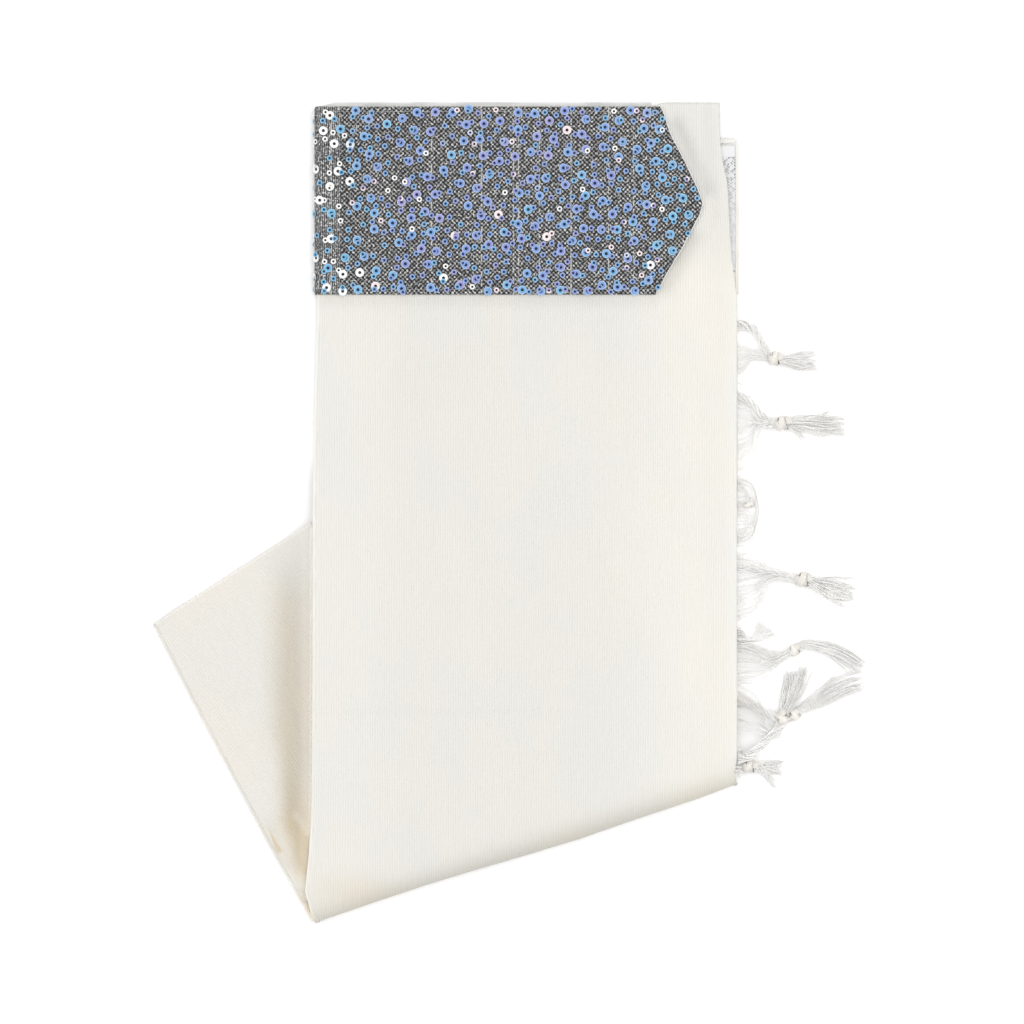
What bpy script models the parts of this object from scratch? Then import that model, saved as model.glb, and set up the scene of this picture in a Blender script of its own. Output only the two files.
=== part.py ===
"""A prayer shawl folded lengthwise into a flat strip and laid on a surface.

The strip runs down from the shawl's neckband edge. Its lower part is folded behind along a
slanted line and comes out again at the lower left as a leg that lies under the strip.
X is to the right, Y towards the neckband edge and Z up from the surface. Sizes are in
millimetres up to make_object, which makes metres.
"""
import math
from collections import namedtuple

import bpy

MM = 0.001

# Cloth and layer stacks
CLOTH_WALL = 1.2
GAP = 0.3
STRIP_HEIGHT = 6.6
LEG_HEIGHT = 6.0
BACK_HEIGHT = 2.2

# Mesh divisions
STRIP_COLUMNS = 16
STRIP_ROWS = 24
ROW_CROWDING = 1.2
LEG_COLUMNS = 14
LEG_ROWS = 12
BAND_COLUMNS = 12

# How far a fold rounds in from its outline, above and below its widest line, and the
# angles of the rings of points round it
STRIP_ANGLES = [90, 66, 42, 18, -8, -34, -58]
FOLD_ROUND = 5.0
TIGHTEST_BEND = 1.65
UNDER_ROUND = 3.0
SLANT_ROUND = 8.0
RIGHT_ROUND = 16.0
END_ROUND = 4.0

# The strip's drape over the leg: distances outside the leg's edge
TOP_RAMP = (0.0, 52.0)
UNDER_RAMP = (14.0, 30.0)
Slope = namedtuple("Slope", "inset drop")
RIGHT_SLOPE = [
    Slope(RIGHT_ROUND, 0.0), Slope(11.0, 0.08), Slope(7.0, 0.22), Slope(4.0, 0.42),
    Slope(2.0, 0.62), Slope(0.8, 0.84), Slope(0.0, 1.2),
]
FOLD_CLEARANCE = 1.6
SLANT_LOW = 0.25
CORNER_BLEND = 10.0
RIGHT_CORNER_BLEND = 16.0
LIP_START = 21.0
CORNER_CLEARANCE = 2.2
PLAIN_SIDES = ("top", "inner", "hidden")
FOLD_END = Slope(0.3, 0.15)
FOOT_INSET = 0.5
LEG_FOOT_INSET = 0.9
STRIP_ROUND = {
    "left": FOLD_ROUND, "slant": SLANT_ROUND, "right": RIGHT_ROUND, "top": 0.0,
}

Edge = namedtuple("Edge", "y x")
STRIP_LEFT = [
    Edge(216.9, -104.2), Edge(116.0, -104.2), Edge(60.0, -105.6), Edge(0.0, -106.3),
    Edge(-150.0, -106.5), Edge(-180.0, -108.0), Edge(-200.0, -110.2), Edge(-212.0, -108.4),
    Edge(-219.2, -104.4),
]
STRIP_RIGHT = [
    Edge(218.7, 111.1), Edge(200.5, 111.3), Edge(189.3, 112.4), Edge(175.0, 115.1),
    Edge(158.0, 116.1), Edge(138.6, 117.2), Edge(129.0, 118.3), Edge(114.0, 120.1),
    Edge(0.0, 120.2), Edge(-145.0, 119.9),
]
LEG_FOLD = [
    Edge(-60.1, -192.0), Edge(-100.7, -171.2), Edge(-170.1, -134.3), Edge(-209.0, -112.3),
]
STRIP_TOP_LEFT_Y = 216.9
STRIP_TOP_RIGHT_Y = 218.7
TOP_STEP_X = (74.0, 82.0)
LEG_CORNER = (-192.0, -60.1)
LEG_HIDDEN_CORNER = (-2.4, 62.2)
LEG_INNER_RIGHT = (113.0, -143.9)

# The soft valley on the leg beside the strip
Valley = namedtuple("Valley", "y x depth width")
LEG_VALLEY = [
    Valley(-15.0, -124.0, 0.0, 9.0), Valley(-60.0, -119.5, 1.0, 8.0),
    Valley(-130.0, -115.8, 1.8, 6.0), Valley(-170.0, -115.8, 2.0, 6.0),
    Valley(-195.0, -115.8, 0.6, 6.0), Valley(-209.0, -115.8, 0.0, 6.0),
]

# A layered side: how far in each ring lies, against its share of the side's height
Ring = namedtuple("Ring", "inset height")
LAYER_RINGS = [
    Ring(-0.6, 0.95), Ring(-0.7, 0.76), Ring(0.4, 0.68), Ring(-0.3, 0.60),
    Ring(-0.4, 0.40), Ring(0.5, 0.33), Ring(-0.9, 0.24), Ring(-0.9, 0.06),
]
TOP_INSET = 3.6
LIP_DROP = 0.1
LIP_FOOT = 0.3
TOP_WRAP = Slope(0.3, 0.4)
# Where the inner layers draw back to make room for what shows under the strip
DRAW_BACK = 16.0
DRAW_BACK_LENGTH = 12.0
LEFT_LIP = 0.7
LEFT_LIP_UNDER_BAND = 5.5
LEFT_LIP_RINGS = [Ring(0.0, 0.9), Ring(-0.1, 0.4), Ring(0.4, 0.0)]
LEFT_STEP = 0.4
LEFT_DROP = 0.35
LEFT_LIP_DROP = 0.45

# The leg
LEG_INNER_GAP = 3.2
LEG_START_BEND = 18.0
LEG_CORNER_BLEND = 14.0
LEG_LIP_START = 18.2
LEG_HIDDEN_RINGS = [Ring(0.0, 1.0), Ring(-0.2, 0.6), Ring(0.0, 0.0)]
LEG_ANGLES = [90, 64, 36, 8, -22, -52]
LEG_ROUND = {"fold": FOLD_ROUND, "end": END_ROUND, "inner": 0.0, "hidden": 0.0}
END_SLOPE = [
    Slope(END_ROUND, 0.0), Slope(2.6, 0.15), Slope(1.5, 0.4), Slope(0.8, 0.7),
    Slope(0.3, 1.05), Slope(0.0, 1.5),
]

# Neckband
BAND_LOW_Y = 116.1
BAND_HIGH_Y = 216.5
BAND_END = [
    Edge(BAND_HIGH_Y, 79.0), Edge(214.4, 80.4), Edge(202.6, 84.1), Edge(186.1, 92.6),
    Edge(172.2, 99.1), Edge(164.7, 101.7), Edge(158.9, 100.1), Edge(140.7, 90.5),
    Edge(127.4, 82.5), Edge(BAND_LOW_Y, 76.6),
]
BAND_HEM = 2.4
BAND_HEM_DROP = 0.35
BAND_WRAP_ANGLES = [-62, -40, -15, 10, 35, 62, 90]

# Back layers that show past the strip, and the patch on them
BACK_LOW_Y = 117.0
BACK_HIGH_Y = 200.2
BACK_HEM = 3.2
BACK_HEM_RISE = 0.5
BACK_HEM_ROUND = 0.6
BACK_HEM_FALL = 0.4
BACK_RIGHT_X = 121.5
BACK_UNDER_STRIP = 8.5
BACK_COLUMNS = 4
SHELF_INSET = 10.0
PATCH_LOW_Y = 128.4
PATCH_HIGH_Y = 196.3
PATCH_RIGHT_X = 119.4
PATCH_WALL = 1.0
PATCH_COLUMNS = 3
PATCH_TUCK = 2.0
TOP_LAYER_LEFT = (-101.0, 215.6)
TOP_LAYER_RIGHT_X = 74.0
TOP_LAYER_HIGH_Y = 219.2
TOP_LAYER_COLUMNS = 10
TOP_LAYER_CORNER = 1.2
TOP_LAYER_RINGS = [
    Ring(0.0, 1.0), Ring(0.35, 0.84), Ring(0.0, 0.5), Ring(0.35, 0.25), Ring(0.1, 0.0),
]

# Fringe on the short edge
FRINGE_X = 122.0
KNOT_STATIONS = [Ring(-1.0, 0.72), Ring(-0.45, 1.0), Ring(0.45, 1.0), Ring(1.0, 0.72)]
KNOT_LENGTH = 1.15
KNOT_LIFT = 0.25
STRANDS_IN_KNOT = 0.72
STRAND_FALL = 1.6
SHORTER_STRANDS = [0.0, 0.1, 0.067, 0.033]
CURVE_SPREAD = 0.125
HEAD_ACROSS = 3
HEAD_UP = 2
STRAND_RINGS = 5
STRAND_SHARE = 0.16
ROOT_THINNING = 0.8
TIP_HALF = 0.34
FLOOR_STRAND = 1.0
SECOND_STRAND = 2.7
Tassel = namedtuple(
    "Tassel",
    "number root_x root_y root_spread root_reach knot_x knot_y knot_half angle"
    " tail_reach tail_x tail_y tail_spread",
)
TASSELS = [
    Tassel(1, FRINGE_X, 86.0, 24.0, 10.0, 140.8, 82.2, 3.6, -12.0, 10.0, 164.7, 80.0, 9.0),
    Tassel(2, FRINGE_X, 42.5, 38.0, 10.0, 144.8, 47.5, 3.6, 4.0, 12.0, 180.8, 45.8, 12.0),
    Tassel(4, FRINGE_X, -39.6, 35.0, 14.0, 155.9, -36.0, 3.6, -8.0, 10.0, 183.4, -42.5, 12.0),
    Tassel(5, FRINGE_X, -77.5, 17.0, 12.0, 150.9, -74.0, 2.9, 28.0, 14.0, 188.6, -83.2, 7.0),
    Tassel(6, 120.9, -120.5, 7.0, 14.0, 152.0, -108.5, 2.5, 43.0, 12.0, 190.6, -91.5, 8.0),
    Tassel(7, FRINGE_X, -103.0, 18.0, 4.5, 142.2, -108.8, 2.7, 42.0, 8.0, 154.0, -83.0, 9.0),
    Tassel(8, 120.4, -136.5, 11.0, 3.0, 129.0, -136.5, 3.2, -6.0, 8.0, 146.0, -140.5, 12.0),
]
LOOP_LOW_Y = -18.0
LOOP_HIGH_Y = 19.0
LOOP_REACH = 12.0
LOOP_STRANDS = 4
LOOP_BEND = 0.7
LOOP_STEPS = 8
LOOP_TURN = 167.0
LOOP_LIFT = 1.9
LOOP_HALF = 0.6
TUFT_LOW_Y = -67.0
TUFT_HIGH_Y = -61.0
TUFT_END = (138.5, -59.5)
TUFT_STRANDS = 5
TUFT_SPREAD = (3.2, 3.6)
TUFT_RISE = (1.85, 1.2)
TUFT_HALF = 0.42
BACKING_WIDTH = 1.2
BACKING_LOW = 0.3
BACKING_HEIGHT = 3.4
SMOOTH_BELOW = 40.0

# Colour, roughness and metallic value
CREAM = ((0.86, 0.82, 0.74), 0.9, 0.0)
CREAM_SHADE = ((0.80, 0.76, 0.68), 0.9, 0.0)
GREY_BACK = ((0.56, 0.57, 0.54), 0.9, 0.0)
SILVER = ((0.62, 0.63, 0.66), 0.45, 0.4)
CHARCOAL = ((0.10, 0.11, 0.14), 0.85, 0.0)
FRINGE_WHITE = ((0.88, 0.86, 0.80), 0.9, 0.0)


def mix(start, stop, share):
    return start + (stop - start) * share


def mix_point(start, stop, share):
    return tuple(mix(a, b, share) for a, b in zip(start, stop))


def smooth(share):
    share = min(max(share, 0.0), 1.0)
    return share * share * (3.0 - 2.0 * share)


def read_curve(rows, at, column=1):
    """Read a table's column at a value of its first column, along a smooth curve."""
    rows = sorted(rows)
    at = min(max(at, rows[0][0]), rows[-1][0])
    last = len(rows) - 1
    here = next(k for k in range(last) if at <= rows[k + 1][0])

    def slope(k):
        before = rows[max(k - 1, 0)]
        after = rows[min(k + 1, last)]
        return (after[column] - before[column]) / (after[0] - before[0])

    width = rows[here + 1][0] - rows[here][0]
    t = (at - rows[here][0]) / width
    start = rows[here][column]
    stop = rows[here + 1][column]
    bend_start = slope(here) * width
    bend_stop = slope(here + 1) * width
    return (
        (2 * t**3 - 3 * t**2 + 1) * start
        + (t**3 - 2 * t**2 + t) * bend_start
        + (3 * t**2 - 2 * t**3) * stop
        + (t**3 - t**2) * bend_stop
    )


def read_line(rows, at, column=1):
    """Read a table's column at a value of its first column, along straight lines."""
    rows = sorted(rows)
    at = min(max(at, rows[0][0]), rows[-1][0])
    here = next(k for k in range(len(rows) - 1) if at <= rows[k + 1][0])
    share = (at - rows[here][0]) / (rows[here + 1][0] - rows[here][0])
    return mix(rows[here][column], rows[here + 1][column], share)


def outside_line(point, start, stop):
    """Distance of a point to the left of the line from start to stop."""
    along = (stop[0] - start[0], stop[1] - start[1])
    length = math.hypot(*along)
    return (along[0] * (point[1] - start[1]) - along[1] * (point[0] - start[0])) / length


def outside_leg(x, y):
    """Distance of a point from the leg, past its end edge and its hidden right edge."""
    past_end = outside_line((x, y), LEG_CORNER, LEG_HIDDEN_CORNER)
    past_right = outside_line((x, y), LEG_HIDDEN_CORNER, LEG_INNER_RIGHT)
    if past_end > 0.0 and past_right > 0.0:
        return math.hypot(past_end, past_right)
    return max(past_end, past_right)


def lift(x, y, ramp):
    share = (outside_leg(x, y) - ramp[0]) / (ramp[1] - ramp[0])
    return (LEG_HEIGHT + GAP) * (1.0 - smooth(share))


def strip_top(x, y):
    return STRIP_HEIGHT + lift(x, y, TOP_RAMP)


def strip_ground(x, y):
    return lift(x, y, UNDER_RAMP)


def leg_top(x, y):
    depth = read_line(LEG_VALLEY, y, 2)
    away = (x - read_line(LEG_VALLEY, y, 1)) / read_line(LEG_VALLEY, y, 3)
    return LEG_HEIGHT - depth * math.exp(-away * away)


class Spot:
    """A point of an outline, with the side or sides that meet there."""

    def __init__(self, point, sides):
        self.point = point
        self.sides = sides

    def inward(self, insets):
        """The point that lies in from each side by that side's inset."""
        if len(self.sides) == 1:
            normal, name = self.sides[0]
            return (
                self.point[0] + normal[0] * insets[name],
                self.point[1] + normal[1] * insets[name],
            )
        (first, first_name), (second, second_name) = self.sides
        cross = first[0] * second[1] - first[1] * second[0]
        a = insets[first_name]
        b = insets[second_name]
        return (
            self.point[0] + (a * second[1] - b * first[1]) / cross,
            self.point[1] + (b * first[0] - a * second[0]) / cross,
        )


def inward_normal(before, after):
    """Unit vector to the left of the way from one point to the next."""
    along = (after[0] - before[0], after[1] - before[1])
    length = math.hypot(*along)
    return (-along[1] / length, along[0] / length)


def make_outline(sides):
    """Spots for (name, points) sides in order; each side's last point starts the next."""
    spots = []
    for place, (name, points) in enumerate(sides):
        closed = sides[place - 1][1][-1] == points[0]
        for k, point in enumerate(points[:-1]):
            before = points[max(k - 1, 0)]
            own = (inward_normal(before, points[k + 1]), name)
            if k == 0 and closed:
                last_name, last_points = sides[place - 1]
                other = (inward_normal(last_points[-2], last_points[-1]), last_name)
                spots.append(Spot(point, [other, own]))
            else:
                spots.append(Spot(point, [own]))
    name, points = sides[-1]
    if points[-1] != sides[0][1][0]:
        spots.append(Spot(points[-1], [(inward_normal(points[-2], points[-1]), name)]))
    return spots


def fill_grid(bottom, right, top, left):
    """Points [column][row] between four edges, each a list of plan points."""
    columns = len(bottom) - 1
    rows = len(left) - 1
    grid = []
    for i in range(columns + 1):
        u = i / columns
        line = []
        for j in range(rows + 1):
            v = j / rows
            point = []
            for axis in (0, 1):
                edges = mix(bottom[i][axis], top[i][axis], v)
                edges += mix(left[j][axis], right[j][axis], u)
                low = mix(bottom[0][axis], bottom[-1][axis], u)
                high = mix(top[0][axis], top[-1][axis], u)
                point.append(edges - mix(low, high, v))
            line.append(tuple(point))
        grid.append(line)
    return grid


class Mesh:
    """Vertices and faces gathered by key, so that neighbours share their points."""

    def __init__(self):
        self.points = []
        self.number = {}
        self.faces = []

    def add(self, key, point):
        if key not in self.number:
            self.number[key] = len(self.points)
            self.points.append(point)
        return self.number[key]

    def face(self, keys):
        numbers = []
        for key in keys:
            if self.number[key] not in numbers:
                numbers.append(self.number[key])
        if len(numbers) > 2:
            self.faces.append(numbers)


def turned(face):
    """The same face seen from behind, starting at the same corner."""
    return face[:1] + face[:0:-1]


def make_object(name, points, faces, look):
    """One closed solid with its own material."""
    colour, roughness, metallic = look
    mesh = bpy.data.meshes.new(name)
    mesh.from_pydata([tuple(c * MM for c in point) for point in points], [], faces)
    mesh.validate()
    material = bpy.data.materials.new(name + "_material")
    material.use_nodes = True
    shader = material.node_tree.nodes["Principled BSDF"]
    shader.inputs["Base Color"].default_value = (*colour, 1.0)
    shader.inputs["Roughness"].default_value = roughness
    shader.inputs["Metallic"].default_value = metallic
    mesh.materials.append(material)
    mesh.shade_smooth()
    mesh.set_sharp_from_angle(angle=math.radians(SMOOTH_BELOW))
    solid = bpy.data.objects.new(name, mesh)
    bpy.context.collection.objects.link(solid)
    return solid


def signed_volume(points, faces):
    total = 0.0
    for face in faces:
        a = points[face[0]]
        for k in range(1, len(face) - 1):
            b = points[face[k]]
            c = points[face[k + 1]]
            total += (
                a[0] * (b[1] * c[2] - b[2] * c[1])
                + a[1] * (b[2] * c[0] - b[0] * c[2])
                + a[2] * (b[0] * c[1] - b[1] * c[0])
            )
    return total


def finish_solid(name, mesh, look):
    """Make the solid, with its faces turned outwards."""
    faces = mesh.faces
    if signed_volume(mesh.points, faces) < 0.0:
        faces = [turned(face) for face in faces]
    return make_object(name, mesh.points, faces, look)


def fold_profile(angle, depth, top, low, round_in, under):
    """Inset and height on a half-elliptic fold, at a depth inside its outer face."""
    half = (top - low) / 2.0
    reach = min(round_in if angle >= 0 else under, half * half / TIGHTEST_BEND)
    cosine = math.cos(math.radians(angle))
    sine = math.sin(math.radians(angle))
    across = cosine / reach
    up = sine / half
    length = math.hypot(across, up)
    inset = reach * (1.0 - cosine) + depth * across / length
    return inset, (top + low) / 2.0 + half * sine - depth * up / length


# The main strip


def strip_outline():
    """Outline points of the strip's four sides, up the left side first."""
    rows = [(j / STRIP_ROWS) ** ROW_CROWDING for j in range(STRIP_ROWS + 1)]
    left_y = [mix(STRIP_LEFT[-1].y, STRIP_TOP_LEFT_Y, share) for share in rows]
    right_y = [mix(STRIP_RIGHT[-1].y, STRIP_TOP_RIGHT_Y, share) for share in rows]
    left = [(read_curve(STRIP_LEFT, y), y) for y in left_y]
    right = [(read_curve(STRIP_RIGHT, y), y) for y in right_y]
    shares = [i / STRIP_COLUMNS for i in range(STRIP_COLUMNS + 1)]
    slant = [mix_point(left[0], right[0], share) for share in shares]
    slant[-1] = right[0]
    top = []
    for share in shares:
        x = mix(left[-1][0], right[-1][0], share)
        step = smooth((x - TOP_STEP_X[0]) / (TOP_STEP_X[1] - TOP_STEP_X[0]))
        top.append((x, mix(STRIP_TOP_LEFT_Y, STRIP_TOP_RIGHT_Y, step)))
    top[0] = left[-1]
    top[-1] = right[-1]
    return left, top, right, slant


def strip_low(point, side):
    """Lowest height of the front panel's fold on the strip's left side or slant."""
    if side != "left":
        return SLANT_LOW
    start = STRIP_LEFT[-1]
    away = math.hypot(point[0] - start.x, point[1] - start.y)
    resting = strip_ground(*point) + FOLD_CLEARANCE
    return mix(SLANT_LOW, resting, smooth(away / CORNER_BLEND))


def strip_fold(spot, side, ring, depth):
    """Inset and height of the front panel's rim on one side, at a depth inside its face."""
    point = spot.point
    top = strip_top(*spot.inward(STRIP_ROUND))
    low = strip_low(point, side)
    fold = fold_profile(STRIP_ANGLES[ring], depth, top, low, STRIP_ROUND[side], UNDER_ROUND)
    if side != "right":
        return fold
    slope = RIGHT_SLOPE[ring]
    corner = STRIP_RIGHT[-1]
    away = smooth(math.hypot(point[0] - corner.x, point[1] - corner.y) / RIGHT_CORNER_BLEND)
    return mix_point(fold, (slope.inset, top - slope.drop - depth), away)


def strip_ring(spot, ring, depth):
    """Point of the front panel's rounded rim: a ring number from the top, and a depth."""
    insets = {}
    heights = []
    for _, side in spot.sides:
        insets[side], height = strip_fold(spot, side, ring, depth)
        heights.append(height)
    x, y = spot.inward(insets)
    return x, y, sum(heights) / len(heights)


def strip_layout():
    """Rim spots (right top, down, along the slant, up) and the grid inside them."""
    left, top, right, slant = strip_outline()
    sides = [("left", left[::-1]), ("slant", slant), ("right", right)]
    spots = make_outline(sides)
    inner = [spot.inward(STRIP_ROUND) for spot in spots]
    inner_left = inner[: STRIP_ROWS + 1][::-1]
    inner_slant = inner[STRIP_ROWS : STRIP_ROWS + STRIP_COLUMNS + 1]
    inner_right = inner[STRIP_ROWS + STRIP_COLUMNS :]
    ends = (inner_left[-1], inner_right[-1])
    inner_top = []
    for i in range(STRIP_COLUMNS + 1):
        x = mix(ends[0][0], ends[1][0], i / STRIP_COLUMNS)
        step = smooth((x - TOP_STEP_X[0]) / (TOP_STEP_X[1] - TOP_STEP_X[0]))
        inner_top.append((x, mix(STRIP_TOP_LEFT_Y, STRIP_TOP_RIGHT_Y, step)))
    return spots, fill_grid(inner_slant, inner_right, inner_top, inner_left)


def add_sheet(mesh, grid, spots, places, outer_height, ring_point, rings, depths):
    """Add both faces of a sheet with a rounded rim, and the edge between them."""
    columns = len(grid) - 1
    rows = len(grid[0]) - 1
    faces = []
    for i in range(columns):
        for j in range(rows):
            faces.append([("g", i, j), ("g", i + 1, j), ("g", i + 1, j + 1), ("g", i, j + 1)])
    chain = [[("g", *place)] + [("r", k, ring) for ring in range(1, rings)]
             for k, place in enumerate(places)]
    for k in range(len(places) - 1):
        for ring in range(rings - 1):
            faces.append([chain[k][ring], chain[k][ring + 1],
                          chain[k + 1][ring + 1], chain[k + 1][ring]])
    for side, depth in enumerate(depths):
        for i in range(columns + 1):
            for j in range(rows + 1):
                x, y = grid[i][j]
                mesh.add((side, "g", i, j), (x, y, outer_height(x, y) - depth))
        for k, spot in enumerate(spots):
            for ring in range(1, rings):
                mesh.add((side, "r", k, ring), ring_point(spot, ring, depth))
    close_shell(mesh, faces)


def close_shell(mesh, faces):
    """Turn one layer of faces into a closed shell between side 0 and side 1."""
    edges = {}
    for face in faces:
        for a, b in zip(face, face[1:] + face[:1]):
            edges[(a, b)] = edges.get((a, b), 0) + 1
    for face in faces:
        mesh.face([(0, *key) for key in face])
        mesh.face([(1, *key) for key in turned(face)])
    for a, b in edges:
        if (b, a) not in edges:
            mesh.face([(0, *b), (0, *a), (1, *a), (1, *b)])


def strip_places():
    places = [(0, j) for j in range(STRIP_ROWS, 0, -1)]
    places += [(i, 0) for i in range(STRIP_COLUMNS)]
    places += [(STRIP_COLUMNS, j) for j in range(STRIP_ROWS + 1)]
    return places


def make_front_panel():
    spots, grid = strip_layout()
    mesh = Mesh()
    add_sheet(mesh, grid, spots, strip_places(), strip_top, strip_ring,
              len(STRIP_ANGLES), (0.0, CLOTH_WALL))
    return finish_solid("front_panel", mesh, CREAM)


def drawn_back(y, edge_y):
    """Share by which the inner layers draw back, from none below edge_y to all above it."""
    return smooth((y - edge_y + DRAW_BACK) / DRAW_BACK_LENGTH)


def fold_rings(spot, side, depth, ground):
    """Rings of the hidden layers inside a fold, down to where the fold's rim ends."""
    rings = []
    for ring in range(len(STRIP_ANGLES)):
        inset, height = strip_fold(spot, side, ring, depth)
        if height < ground + FOLD_END.drop:
            return rings + [(inset + FOLD_END.inset, ground)], True
        rings.append((inset, height))
    return rings, False


def near_corner(spot, edge):
    """Whether a point lies so near the slanted fold that no layers show there."""
    away = math.hypot(spot.point[0] - edge[-1].x, spot.point[1] - edge[-1].y)
    return away < LIP_START


def left_side(spot, depth):
    """Rings inside the left fold, then the lips of the layers that show below its rim."""
    ground = strip_ground(*spot.point)
    rings, ended = fold_rings(spot, "left", depth, ground)
    if ended:
        return rings
    if near_corner(spot, STRIP_LEFT):
        return rings + [(rings[-1][0] + FOOT_INSET, ground)]
    _, rim = strip_fold(spot, "left", len(STRIP_ANGLES) - 1, 0.0)
    lip = mix(LEFT_LIP, LEFT_LIP_UNDER_BAND, drawn_back(spot.point[1], BAND_LOW_Y))
    inside = max(rings[-1][0] + LEFT_STEP, lip)
    high = rim - LEFT_LIP_DROP
    return rings + [(inside, rim - LEFT_DROP)] + [
        (lip + ring.inset, mix(ground, high, ring.height)) for ring in LEFT_LIP_RINGS
    ]


def slant_side(spot, depth):
    """Rings inside the slanted fold, down to the leg's top."""
    rings, _ = fold_rings(spot, "slant", depth, LEG_HEIGHT + GAP)
    return rings


def layer_lips(ground, high, extra):
    """Edges of the layers that show below a height, as rings that go in and out."""
    rings = [(ring.inset + extra, mix(ground, high, ring.height)) for ring in LAYER_RINGS]
    return rings + [(extra - LIP_FOOT, ground)]


def right_side(spot, depth):
    """Rings under the right edge, then the lips of the layers below it."""
    ground = strip_ground(*spot.point)
    shelf = SHELF_INSET * drawn_back(spot.point[1], BACK_LOW_Y)
    rings, ended = fold_rings(spot, "right", depth, ground)
    rings = [(max(inset, shelf), height) for inset, height in rings]
    if near_corner(spot, STRIP_RIGHT):
        rings = [(max(inset, CORNER_CLEARANCE), height) for inset, height in rings]
        return rings if ended else rings + [(rings[-1][0] + FOOT_INSET, ground)]
    return rings + layer_lips(ground, rings[-1][1] - LIP_DROP, shelf)


def top_side(depth):
    """Rings at the neckband edge, where nothing wraps round the layers."""
    top = STRIP_HEIGHT - depth
    wrap = [(TOP_INSET, top), (TOP_INSET - TOP_WRAP.inset, top - TOP_WRAP.drop)]
    return wrap + layer_lips(0.0, top - 2.0 * TOP_WRAP.drop, TOP_INSET)


def add_slab(mesh, grid, spots, places, top_height, rings_of, bottom_height):
    """Add a closed body: a top grid, rings down its sides and a bottom grid."""
    columns = len(grid) - 1
    rows = len(grid[0]) - 1
    chains = []
    floor = {}
    for k, (spot, place) in enumerate(zip(spots, places)):
        per_side = {name: rings_of(name, spot) for _, name in spot.sides}
        if len(per_side) == 2:
            first, second = per_side
            for plain, other in ((first, second), (second, first)):
                if plain in PLAIN_SIDES and other not in PLAIN_SIDES:
                    start = per_side[plain][0][0]
                    per_side[plain] = [(start, height) for _, height in per_side[other]]
        count = max(len(rings) for rings in per_side.values())
        chain = [("t", *place)]
        for ring in range(1, count):
            values = {name: rings[min(ring, len(rings) - 1)] for name, rings in
                      per_side.items()}
            insets = {name: value[0] for name, value in values.items()}
            x, y = spot.inward(insets)
            z = sum(value[1] for value in values.values()) / len(values)
            key = ("b", *place) if ring == count - 1 else ("s", k, ring)
            mesh.add(key, (x, y, z))
            chain.append(key)
        floor[place] = (x, y)
        chains.append(chain)
    most = max(len(chain) for chain in chains)
    chains = [chain + [chain[-1]] * (most - len(chain)) for chain in chains]
    lower = fill_grid(
        [floor[(i, 0)] for i in range(columns + 1)],
        [floor[(columns, j)] for j in range(rows + 1)],
        [floor[(i, rows)] for i in range(columns + 1)],
        [floor[(0, j)] for j in range(rows + 1)],
    )
    for i in range(columns + 1):
        for j in range(rows + 1):
            x, y = grid[i][j]
            mesh.add(("t", i, j), (x, y, top_height(x, y)))
            x, y = lower[i][j]
            mesh.add(("b", i, j), (x, y, bottom_height(x, y)))
    for i in range(columns):
        for j in range(rows):
            square = [(i, j), (i + 1, j), (i + 1, j + 1), (i, j + 1)]
            mesh.face([("t", *place) for place in square])
            mesh.face([("b", *place) for place in turned(square)])
    for k, chain in enumerate(chains):
        following = chains[(k + 1) % len(chains)]
        for ring in range(len(chain) - 1):
            mesh.face([chain[ring], chain[ring + 1], following[ring + 1], following[ring]])


def make_main_folds():
    depth = CLOTH_WALL + GAP
    left, top, right, slant = strip_outline()
    spots = make_outline([("slant", slant), ("right", right), ("top", top[::-1]),
                          ("left", left[::-1])])
    places = [(i, 0) for i in range(STRIP_COLUMNS)]
    places += [(STRIP_COLUMNS, j) for j in range(STRIP_ROWS)]
    places += [(i, STRIP_ROWS) for i in range(STRIP_COLUMNS, 0, -1)]
    places += [(0, j) for j in range(STRIP_ROWS, 0, -1)]
    _, grid = strip_layout()
    for line in grid:
        line[-1] = (line[-1][0], line[-1][1] - TOP_INSET)

    def rings_of(name, spot):
        if name == "left":
            return left_side(spot, depth)
        if name == "slant":
            return slant_side(spot, depth)
        if name == "right":
            return right_side(spot, depth)
        return top_side(depth)

    mesh = Mesh()
    add_slab(mesh, grid, spots, places, lambda x, y: strip_top(x, y) - depth, rings_of,
             strip_ground)
    return finish_solid("main_folds", mesh, CREAM_SHADE)


# The leg that comes out at the lower left


def leg_outline():
    """Outline points of the leg's four sides; its length runs from the slant to the end."""
    rows = [j / LEG_ROWS for j in range(LEG_ROWS + 1)]
    columns = [i / LEG_COLUMNS for i in range(LEG_COLUMNS + 1)]
    fold_y = [mix(LEG_FOLD[-1].y, LEG_FOLD[0].y, share) for share in rows]
    fold = [(read_curve(LEG_FOLD, y), y) for y in fold_y]
    hidden = [mix_point(LEG_INNER_RIGHT, LEG_HIDDEN_CORNER, share) for share in rows]
    end = [mix_point(LEG_CORNER, LEG_HIDDEN_CORNER, share) for share in columns]
    start = STRIP_LEFT[-1]
    stop = STRIP_RIGHT[-1]
    inner = []
    for share in columns:
        x = mix(fold[0][0], LEG_INNER_RIGHT[0], share)
        slant_y = mix(start.y, stop.y, (x - start.x) / (stop.x - start.x))
        bend = 1.0 - smooth((x - fold[0][0]) / LEG_START_BEND)
        inner.append((x, slant_y + mix(LEG_INNER_GAP, fold[0][1] - slant_y, bend)))
    inner[0] = fold[0]
    inner[-1] = hidden[0]
    end[0] = fold[-1]
    end[-1] = hidden[-1]
    return fold, end, hidden, inner


def from_leg_corner(spot):
    return math.hypot(spot.point[0] - LEG_CORNER[0], spot.point[1] - LEG_CORNER[1])


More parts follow.
